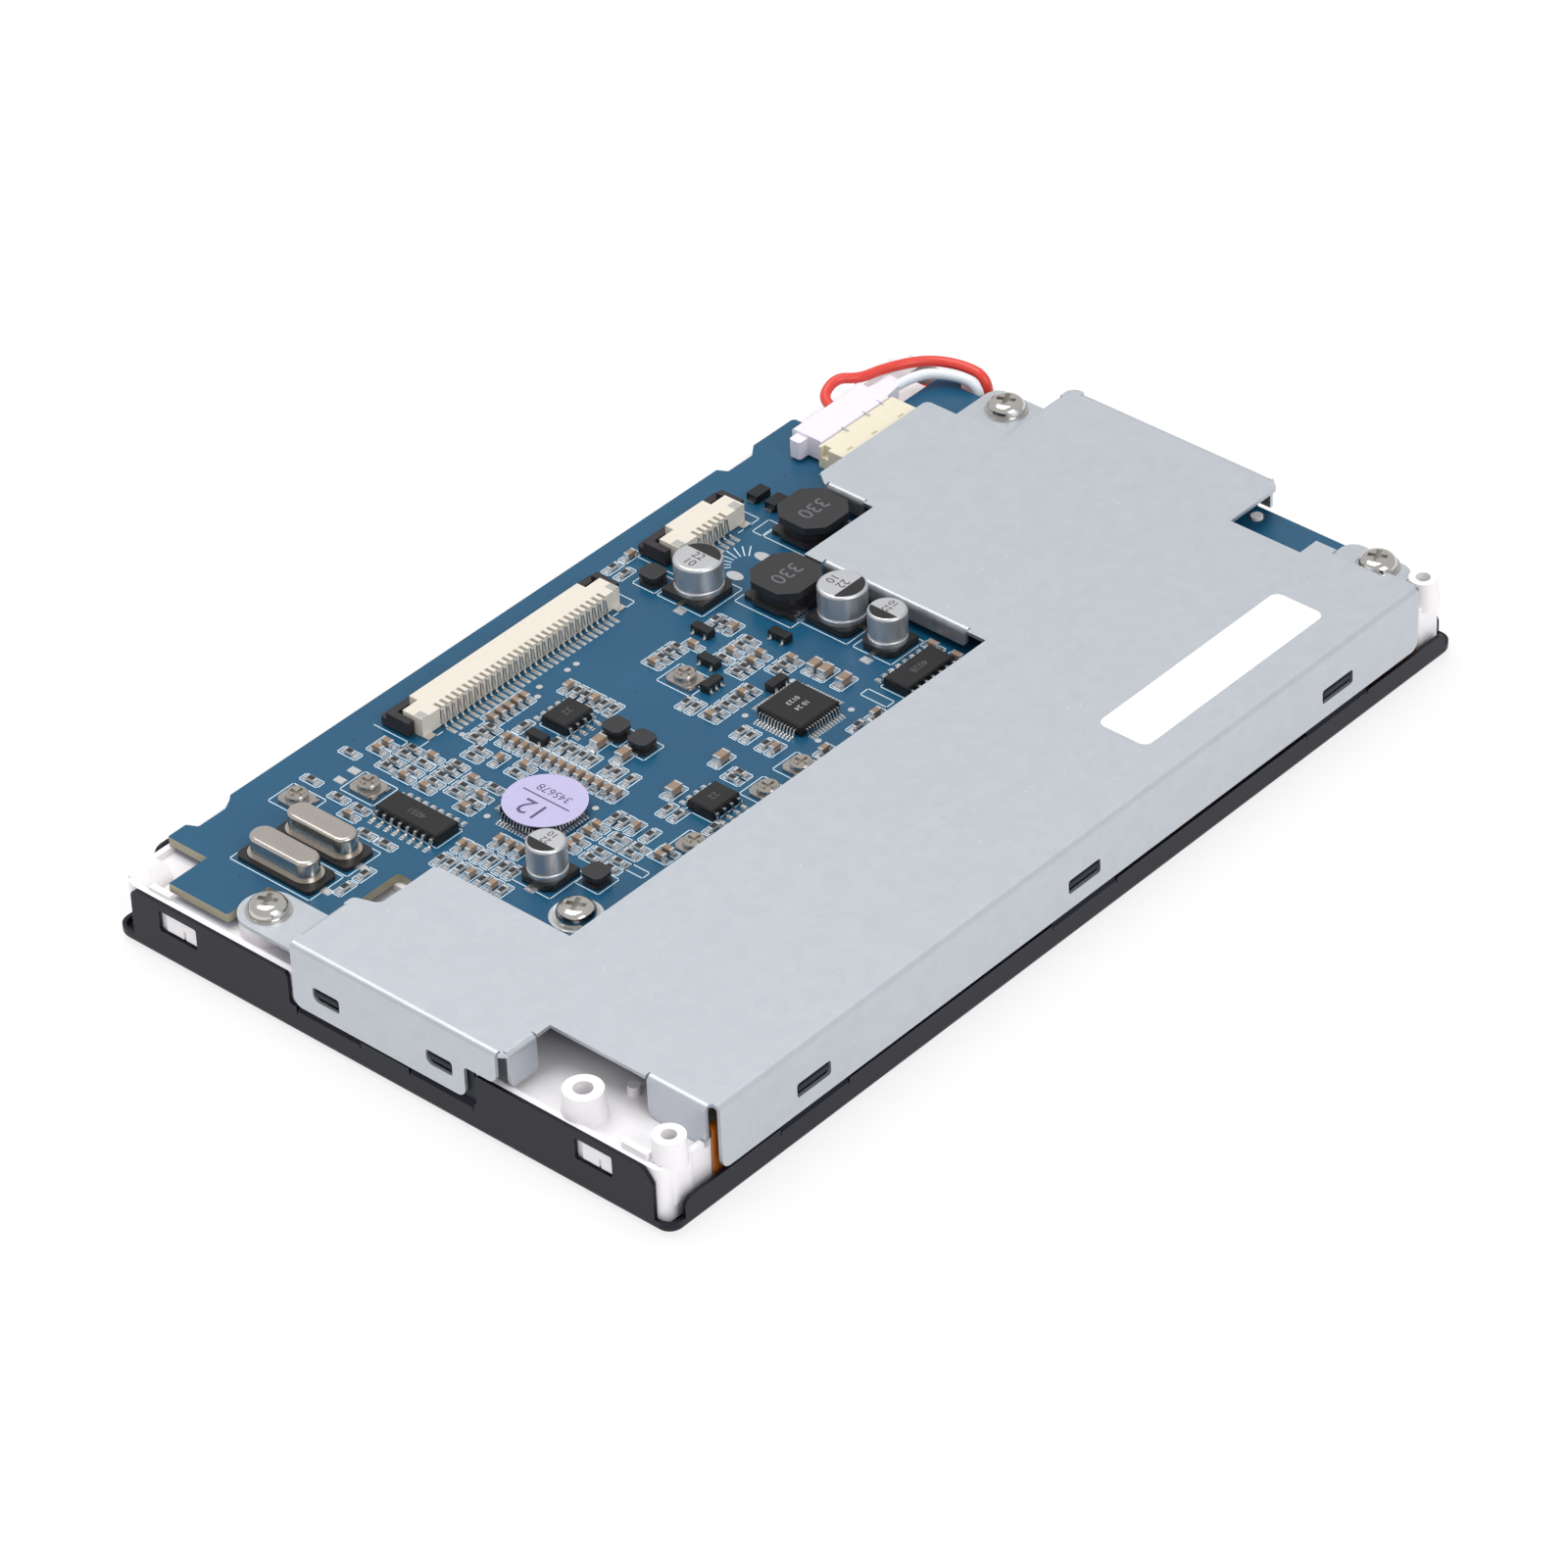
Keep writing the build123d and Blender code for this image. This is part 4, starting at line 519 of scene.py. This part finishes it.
# Rear shield: galvanised steel sheet, blanked and folded, matt zinc with a faint spangle and a few bright specks.
# The inner flaps, which face the parts, are painted darker: painted shade, as they lie in shadow,
# mottled like the real stain on them.
SPANGLE_MM, SPECK_APART_MM, SPECK_CELL_SHARE = 1.4, 2.8, 0.03
FLAP_SHADE_AND_STAIN_MM, INNER_FLAPS_FROM_MM = 1.5, 60
zinc, tree, shader, coords = finish("galvanised_steel", "#BFC4CB", "#C5CAD1", 3.0, 0.46, metal=0.7)
crystals = add(tree, "ShaderNodeTexVoronoi", {"Vector": (coords, "Object"), "Scale": 1000 / SPANGLE_MM})
flake = add(tree, "ShaderNodeSeparateColor", {0: (crystals, "Color")})
glint = add(tree, "ShaderNodeMath", {0: (flake, 0), 1: 0.12}, operation="MULTIPLY")
plain = shader.inputs["Base Color"].links[0].from_node
spangle = add(tree, "ShaderNodeMix", {0: (glint, 0), 6: (plain, 2), 7: linear("#DDE1E6")}, data_type="RGBA")
dust = add(tree, "ShaderNodeTexVoronoi", {"Vector": (coords, "Object"), "Scale": 1000 / SPECK_APART_MM})
speck = add(tree, "ShaderNodeMath", {0: (dust, "Distance"), 1: SPECK_CELL_SHARE}, operation="LESS_THAN")
dusted = add(tree, "ShaderNodeMix", {0: (speck, 0), 6: (spangle, 2), 7: linear("#F2F3F4")}, data_type="RGBA")
facing = add(tree, "ShaderNodeNewGeometry")
normal = add(tree, "ShaderNodeSeparateXYZ", {0: (facing, "Normal")})
place = add(tree, "ShaderNodeSeparateXYZ", {0: (coords, "Object")})
# Painted shade: left-facing faces past the inner flaps' start are darkened, mottled like the real stain.
leftward = add(tree, "ShaderNodeMath", {0: (normal, 0), 1: -0.45}, operation="LESS_THAN")
inner_from = float(CORNER[0]) + INNER_FLAPS_FROM_MM * MM
inner = add(tree, "ShaderNodeMath", {0: (place, 0), 1: inner_from}, operation="GREATER_THAN")
shaded_flap_mask = add(tree, "ShaderNodeMath", {0: (leftward, 0), 1: (inner, 0)}, operation="MULTIPLY")
shade_and_stain_noise = add(tree, "ShaderNodeTexNoise", {"Vector": (coords, "Object"), "Scale": 1000 / FLAP_SHADE_AND_STAIN_MM, "Detail": 3.0})
painted_shade_and_stain = add(tree, "ShaderNodeMix", {0: (shade_and_stain_noise, 0), 6: linear("#66686D"), 7: linear("#B0B3B8")}, data_type="RGBA")
zinc_colour = add(tree, "ShaderNodeMix", {0: (shaded_flap_mask, 0), 6: (dusted, 2), 7: (painted_shade_and_stain, 2)}, data_type="RGBA")
tree.links.new(zinc_colour.outputs[2], shader.inputs["Base Color"])
dress("rear_shield", zinc)


# Screws: pan heads with a collar and a cross recess, headed and thread-rolled. Bright nickel plate reflects the room.
dress("mounting_screws", finish("bright_nickel_plate", "#CBC8C3", "#DCD9D4", 2.0, 0.14, metal=1.0)[0])


# Flexible circuit: polyimide film with etched copper below, amber and glossy, folded round the frame.
dress("panel_flex", finish("amber_polyimide", "#A4561A", "#C26E26", 1.0, 0.3, bump_mm=0.004)[0])


# Flat-cable connectors: pale heat-proof nylon housings, moulded, with dark sliders and stamped, tinned contacts that
# are soldered to a row of pads. A tinned hold-down plate shows on top near the ends.
pale_nylon = finish("pale_heat_proof_nylon", "#D9D2C5", "#E2DBCF", 0.6, 0.5, bump_mm=0.004)[0]
dark_nylon = finish("dark_heat_proof_nylon", "#1F1A1E", "#2B2529", 0.6, 0.45, bump_mm=0.004)[0]
tinned = finish("tinned_bronze", "#DEDDDA", "#F0EFED", 0.4, 0.25, metal=1.0)[0]
CONTACT_PITCH = 1.0
CONTACT_PAD_HALF_MM, PAD_BEFORE_TOE_MM, PAD_BEHIND_TOE_MM = 0.27, 0.4, 1.1
PLATE_DEEP_MM, PLATE_MM = 1.4, 0.05
for one, first, count, plates in (
    ("long_connector", 3.35, 30, ((0.1, 1.2), (34.0, 35.0))), ("small_connector", 3.7, 6, ((0.1, 1.3), (10.6, 11.9))),
):
    dress(one + "_housing", pale_nylon)
    dress(one + "_slider", dark_nylon)
    dress(one + "_contacts", tinned)
    body_low, body_high = corners(one + "_housing")
    toe = corners(one + "_contacts")[0][1]
    x = body_low[0] + first + CONTACT_PITCH * np.arange(count)
    even = np.ones(count)
    pads = hexes(
        np.stack([x - CONTACT_PAD_HALF_MM, even * (toe - PAD_BEFORE_TOE_MM), even * BOARD_TOP], axis=1),
        np.stack([
            x + CONTACT_PAD_HALF_MM, even * (toe + PAD_BEHIND_TOE_MM), even * (BOARD_TOP + SOLDERED_HIGH_MM),
        ], axis=1),
        SOLDERED_TAPER_MM,
    )
    ends = np.array(plates)
    even = np.ones(len(ends))
    plate = hexes(
        np.stack([body_low[0] + ends[:, 0], even * body_low[1], even * body_high[2]], axis=1),
        np.stack([
            body_low[0] + ends[:, 1], even * (body_low[1] + PLATE_DEEP_MM), even * (body_high[2] + PLATE_MM),
        ], axis=1),
    )
    verts, faces, indices = joined([(*pads, 0), (*plate, 1)])
    piece(one + "_soldering", verts, faces, [tin, tinned], indices, "tin_plate")


# Backlight header and plug: an ivory nylon header soldered down by its tinned tabs, and the white nylon plug pushed
# into it, both moulded. The plug's top has three faint moulded marks, and the header's has shallow slots.
ivory_nylon = finish("ivory_nylon", "#DDD4BC", "#E7DFC9", 0.8, 0.45, bump_mm=0.003)[0]
white_nylon = finish("white_nylon", "#E2DEEA", "#ECE9F2", 0.8, 0.45, bump_mm=0.003)[0]
painted_mark_shade = finish("shaded_nylon", "#B9B5C0", "#C3BFCA", 0.8, 0.5)[0]
slot_shade = finish("shaded_ivory", "#B9AE90", "#C4B99B", 0.8, 0.5)[0]
dress("backlight_header", ivory_nylon)
dress("backlight_plug", white_nylon)
dress("header_tabs", tinned)
# The marks and slots are flat strips of painted shade: a darker tint of each nylon stands for the shadow in them.
PLUG_MARKS = [(119.7, 77.75), (124.0, 77.9), (127.0, 78.3)]
HEADER_SLOTS = [(117.0, 74.6), (121.6, 74.5), (126.6, 74.4)]
for name, places, node, half_x, half_y, shade, slot in (
    ("plug_marks", PLUG_MARKS, "backlight_plug", 0.09, 0.6, painted_mark_shade, "white_nylon"),
    ("header_slots", HEADER_SLOTS, "backlight_header", 0.5, 0.16, slot_shade, "ivory_moulding"),
):
    top = corners(node)[1][2]
    centre = np.array(places)
    low = np.c_[centre - [half_x, half_y], np.full(len(centre), top - 0.05)]
    high = np.c_[centre + [half_x, half_y], np.full(len(centre), top + 0.02)]
    piece(name, *hexes(low, high), [shade], None, slot)


# Can capacitors: drawn aluminium cans, crimped over rubber and set in black bases. A black field printed on one side
# of each top marks the pole, beside two rows of plain digits.
# Each can's dark side in degrees, and where its field starts as a share of the radius.
CANS = [(0, 0.30), (270, 0.30), (180, 0.25), (180, 0.25)]
DIGIT_SHARE, PRINT_LIFT_MM, CAN_FACE_MM = 0.72, 0.003, 0.03
black_moulding = finish("black_moulding", "#101011", "#19191B", 0.4, 0.4, bump_mm=0.004)[0]
black_ink = finish("black_ink", "#2A2A2E", "#343438", 0.5, 0.6)[0]


def digits(name, text, high_mm, place, turn, material):
    """Printed digits as a flat mesh, centred on a place in millimetres and turned about z."""
    data = bpy.data.curves.new(name, "FONT")
    data.body = text
    data.size = high_mm / DIGIT_SHARE
    data.align_x, data.align_y = "CENTER", "CENTER"
    data.resolution_u = 3
    source = bpy.data.objects.new(name + "_source", data)
    bpy.context.scene.collection.objects.link(source)
    bpy.context.view_layer.update()
    mesh = bpy.data.meshes.new_from_object(source.evaluated_get(bpy.context.evaluated_depsgraph_get()))
    bpy.data.objects.remove(source)
    co = np.zeros(len(mesh.vertices) * 3)
    mesh.vertices.foreach_get("co", co)
    co = co.reshape(-1, 3)
    c, s = math.cos(math.radians(turn)), math.sin(math.radians(turn))
    flat = np.stack([co[:, 0] * c - co[:, 1] * s, co[:, 0] * s + co[:, 1] * c], 1)
    co = placed(np.concatenate([flat + np.array(place[:2]), np.full((len(co), 1), place[2])], axis=1))
    mesh.vertices.foreach_set("co", co.ravel())
    mesh.materials.clear()
    mesh.materials.append(material)
    made = bpy.data.objects.new(name, mesh)
    bpy.context.scene.collection.objects.link(made)
    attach(made, "module")


for i, (turned, start) in enumerate(CANS):
    node = "capacitor_can_%d" % (i + 1)
    low, high = corners(node)
    x, y, top = (low[0] + high[0]) / 2, (low[1] + high[1]) / 2, high[2]
    r = (high[0] - low[0]) / 2
    can, tree, shader, coords = finish("drawn_aluminium_%d" % (i + 1), "#CACBCE", "#D8D9DC", 3.0, 0.38, metal=0.85)
    direction = (math.cos(math.radians(turned)), math.sin(math.radians(turned)), 0.0)
    reach = add(tree, "ShaderNodeVectorMath", {0: (coords, "Object"), 1: direction}, operation="DOT_PRODUCT")
    middle = float(np.dot(placed([x, y, 0]), direction))
    black = add(tree, "ShaderNodeMath", {0: (reach, "Value"), 1: middle + start * r * MM}, operation="GREATER_THAN")
    level = add(tree, "ShaderNodeSeparateXYZ", {0: (coords, "Object")})
    face = add(tree, "ShaderNodeMath", {0: (level, 2), 1: float(top - CAN_FACE_MM) * MM}, operation="GREATER_THAN")
    field = add(tree, "ShaderNodeMath", {0: (black, 0), 1: (face, 0)}, operation="MULTIPLY")
    plain = shader.inputs["Base Color"].links[0].from_node
    marked = add(tree, "ShaderNodeMix", {0: (field, 0), 6: (plain, 2), 7: linear("#141416")}, data_type="RGBA")
    bare = add(tree, "ShaderNodeMapRange", {"Value": (field, 0), "To Min": 0.85, "To Max": 0.0})
    tree.links.new(marked.outputs[2], shader.inputs["Base Color"])
    tree.links.new(bare.outputs[0], shader.inputs["Metallic"])
    dress(node, can)
    for share, text in ((0.02, "22"), (-0.5, "10")):
        spot = (x + r * share * direction[0], y + r * share * direction[1], top + PRINT_LIFT_MM)
        digits("can_value_%d_%s" % (i + 1, text), text, r * 0.4, spot, turned - 90, black_ink)
dress("capacitor_bases", black_moulding)
dress("capacitor_tabs", tinned)


# Power inductors: wire in a pressed ferrite shell, dark grey with a little gloss, each with a printed value and two
# tinned feet. The four small ones are two plates of the same ferrite with a neck between them.
FOOT_APART_MM, FOOT_MM, FOOT_OUT_MM, FOOT_TAPER_MM = 2.0, np.array([2.2, 0.6, 0.75]), 0.3, 0.05
ferrite = finish("sintered_ferrite", "#1F1F22", "#2A2A2D", 0.3, 0.42, bump_mm=0.006)[0]
grey_ink = finish("grey_ink", "#5F5F63", "#69696D", 0.5, 0.6)[0]
for i in (1, 2):
    node = "power_inductor_%d" % i
    dress(node, ferrite)
    low, high = corners(node)
    x, y = (low[0] + high[0]) / 2, (low[1] + high[1]) / 2
    digits("inductor_value_%d" % i, "330", 2.2, (x, y, high[2] + 0.005), 180, grey_ink)
    left = [x + side * FOOT_APART_MM - FOOT_MM[0] / 2 for side in (-1, 1)]
    feet = np.array([[start, low[1] - FOOT_OUT_MM, BOARD_TOP] for start in left])
    piece("inductor_feet_%d" % i, *hexes(feet, feet + FOOT_MM, FOOT_TAPER_MM), [tinned], None, "tin_plate")
dress("small_inductors", ferrite)


# Crystals: quartz in a drawn nickel-silver can, resistance welded to its flange, on a black moulded base. The plate
# is smooth enough to mirror the board on its sides, and faint digits are marked on top.
nickel_silver = finish("drawn_nickel_silver", "#BFB9B2", "#CFC9C2", 4.0, 0.27, metal=1.0)[0]
faint_mark = finish("faint_mark", "#8F8881", "#99928B", 0.5, 0.5)[0]
for i, text in ((1, "12.000"), (2, "24.000")):
    node = "crystal_can_%d" % i
    dress(node, nickel_silver)
    low, high = corners(node)
    x, y = (low[0] + high[0]) / 2, (low[1] + high[1]) / 2
    digits("crystal_mark_%d" % i, text, 1.2, (x, y, high[2] + PRINT_LIFT_MM), -90, faint_mark)
dress("crystal_bases", black_moulding)


# Chips: moulded epoxy with a fine matt grain, on tinned gull-wing leads soldered to pads, with faint laser marks.
epoxy, tree, shader, coords = finish("moulded_epoxy", "#111113", "#1A1A1D", 0.25, 0.46, bump_mm=0.005)
shader.inputs["Specular IOR Level"].default_value = 0.38
LONG_CHIPS = ("logic_chip_a", "logic_chip_b", "amplifier_chip_a", "amplifier_chip_b")
SQUARE_CHIPS = ("processor_chip_a", "processor_chip_b")
for one in (*LONG_CHIPS, *SQUARE_CHIPS):
    dress(one, epoxy)


def soldered(name, node, count, chips, widen, high_mm):
    """A pad and a low heap of solder at the foot of each of a node's equal leads. A lead belongs to the chip that is
    nearest to its middle and points away from it; the solder covers its outer end and runs a little past its tip."""
    low, high = islands(node, count)
    middle = (low + high) / 2
    bodies = np.array([corners(one) for one in chips])
    gap = np.maximum(np.maximum(bodies[:, None, 0] - middle, middle - bodies[:, None, 1]), 0)[:, :, :2]
    chip = gap.sum(2).argmin(0)
    rows = np.arange(count)
    out = gap[chip, rows].argmax(1)
    sign = np.sign((middle - bodies.mean(1)[chip])[rows, out])
    tip = np.where(sign > 0, high[rows, out], low[rows, out])
    parts = []
    for inner, past, z0, z1, taper in ((0.7, 0.4, 0.0, 0.03, 0.0), (0.45, 0.25, 0.02, high_mm, widen)):
        a, b = low.copy(), high.copy()
        a[rows, out] = np.minimum(tip - sign * inner, tip + sign * past)
        b[rows, out] = np.maximum(tip - sign * inner, tip + sign * past)
        a[rows, 1 - out] -= widen
        b[rows, 1 - out] += widen
        a[:, 2], b[:, 2] = BOARD_TOP + z0, BOARD_TOP + z1
        parts.append((*hexes(a, b, taper), 0))
    verts, faces, indices = joined(parts)
    piece(name, verts, faces, [tin], indices, "tin_plate")


def tin_feet(node, places, half_mm):
    """Dresses small moulded parts in epoxy, with tinned feet: the faces further from the part's middle than the half
    width, across it. A place is x, y and whether the feet point along y."""
    dress(node, epoxy, tinned)
    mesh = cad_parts[node].data
    co = np.zeros(len(mesh.polygons) * 3)
    mesh.polygons.foreach_get("center", co)
    co = (co.reshape(-1, 3) - CORNER)[:, :2] / MM
    places = np.array(places, float)
    away = co[:, None] - places[None, :, :2]
    nearest = (away**2).sum(2).argmin(1)
    across = away[np.arange(len(co)), nearest, places[nearest, 2].astype(int)]
    mesh.polygons.foreach_set("material_index", (np.abs(across) > half_mm).astype(np.int32))


TRANSISTORS = [(50.2, 66.3, 0), (74.6, 60.5, 0), (78.9, 65.4, 0), (76.3, 51.1, 1), (84.0, 57.3, 0), (71.3, 57.2, 1)]
DIODES = [(105.0, 79.4, 0), (105.0, 76.4, 0)]
tin_feet("transistors", TRANSISTORS, 0.66)
tin_feet("diodes", DIODES, 1.31)
dress("long_chip_leads", tinned)
dress("square_chip_leads", tinned)
soldered("long_chip_solder", "long_chip_leads", 46, LONG_CHIPS, 0.09, 0.2)
soldered("square_chip_solder", "square_chip_leads", 96, SQUARE_CHIPS, 0.04, 0.16)
laser_mark = finish("laser_mark", "#4A4A4D", "#555558", 0.5, 0.6)[0]
pale_mark = finish("pale_mark", "#B4B6B9", "#C2C4C6", 0.5, 0.6)[0]
for node, text, high_mm, aside, turn, mark in (
    ("logic_chip_a", "4051", 1.0, 0.0, 90, laser_mark), ("logic_chip_b", "4028", 1.0, 0.0, 180, laser_mark),
    ("amplifier_chip_a", "22", 1.0, 0.0, 180, laser_mark), ("amplifier_chip_b", "22", 1.0, 0.0, 180, laser_mark),
    ("processor_chip_b", "10 24", 0.75, -0.6, 180, pale_mark),
    ("processor_chip_b", "0123", 0.75, 0.9, 180, pale_mark),
):
    low, high = corners(node)
    spot = ((low[0] + high[0]) / 2, (low[1] + high[1]) / 2 + aside, high[2] + PRINT_LIFT_MM)
    digits("mark_%s_%s" % (node, text.replace(" ", "_")), text, high_mm, spot, turn, mark)


# Round sticker: lilac coated paper on a chip, with a bar between two rows of plain digits.
dress("round_sticker", finish("lilac_coated_paper", "#B3AED2", "#BFBADC", 1.0, 0.5)[0])
violet_ink = finish("violet_ink", "#4C4468", "#565074", 0.5, 0.6)[0]
low, high = corners("round_sticker")
x, y, top = (low[0] + high[0]) / 2, (low[1] + high[1]) / 2, high[2] + PRINT_LIFT_MM
bar = hexes([[x + 0.1, y - 3.7, top - 0.01]], [[x + 0.32, y + 3.7, top]])
piece("sticker_bar", *bar, [violet_ink], None, "lilac_paper")
digits("sticker_digits", "12", 2.9, (x - 2.1, y, top), 90, violet_ink)
digits("sticker_count", "345678", 1.25, (x + 1.7, y, top), 90, violet_ink)


# Rear label: matt white coated paper, stuck on and left blank.
dress("rear_label", finish("white_coated_paper", "#E9EAEC", "#F1F2F3", 1.0, 0.55)[0])


# Trimmers: tiny variable capacitors, each a silver-plated ceramic body soldered down and a slotted metal rotor.
dress("trimmer_bodies", finish("silver_plated_ceramic", "#A09A96", "#BDB8B4", 0.6, 0.3, bump_mm=0.01, metal=0.8)[0])
rotor_metal = finish("plated_rotor", "#B9B2AA", "#CAC4BD", 3.0, 0.2, metal=1.0)[0]
for i in range(1, 7):
    dress("trimmer_rotor_%d" % i, rotor_metal)
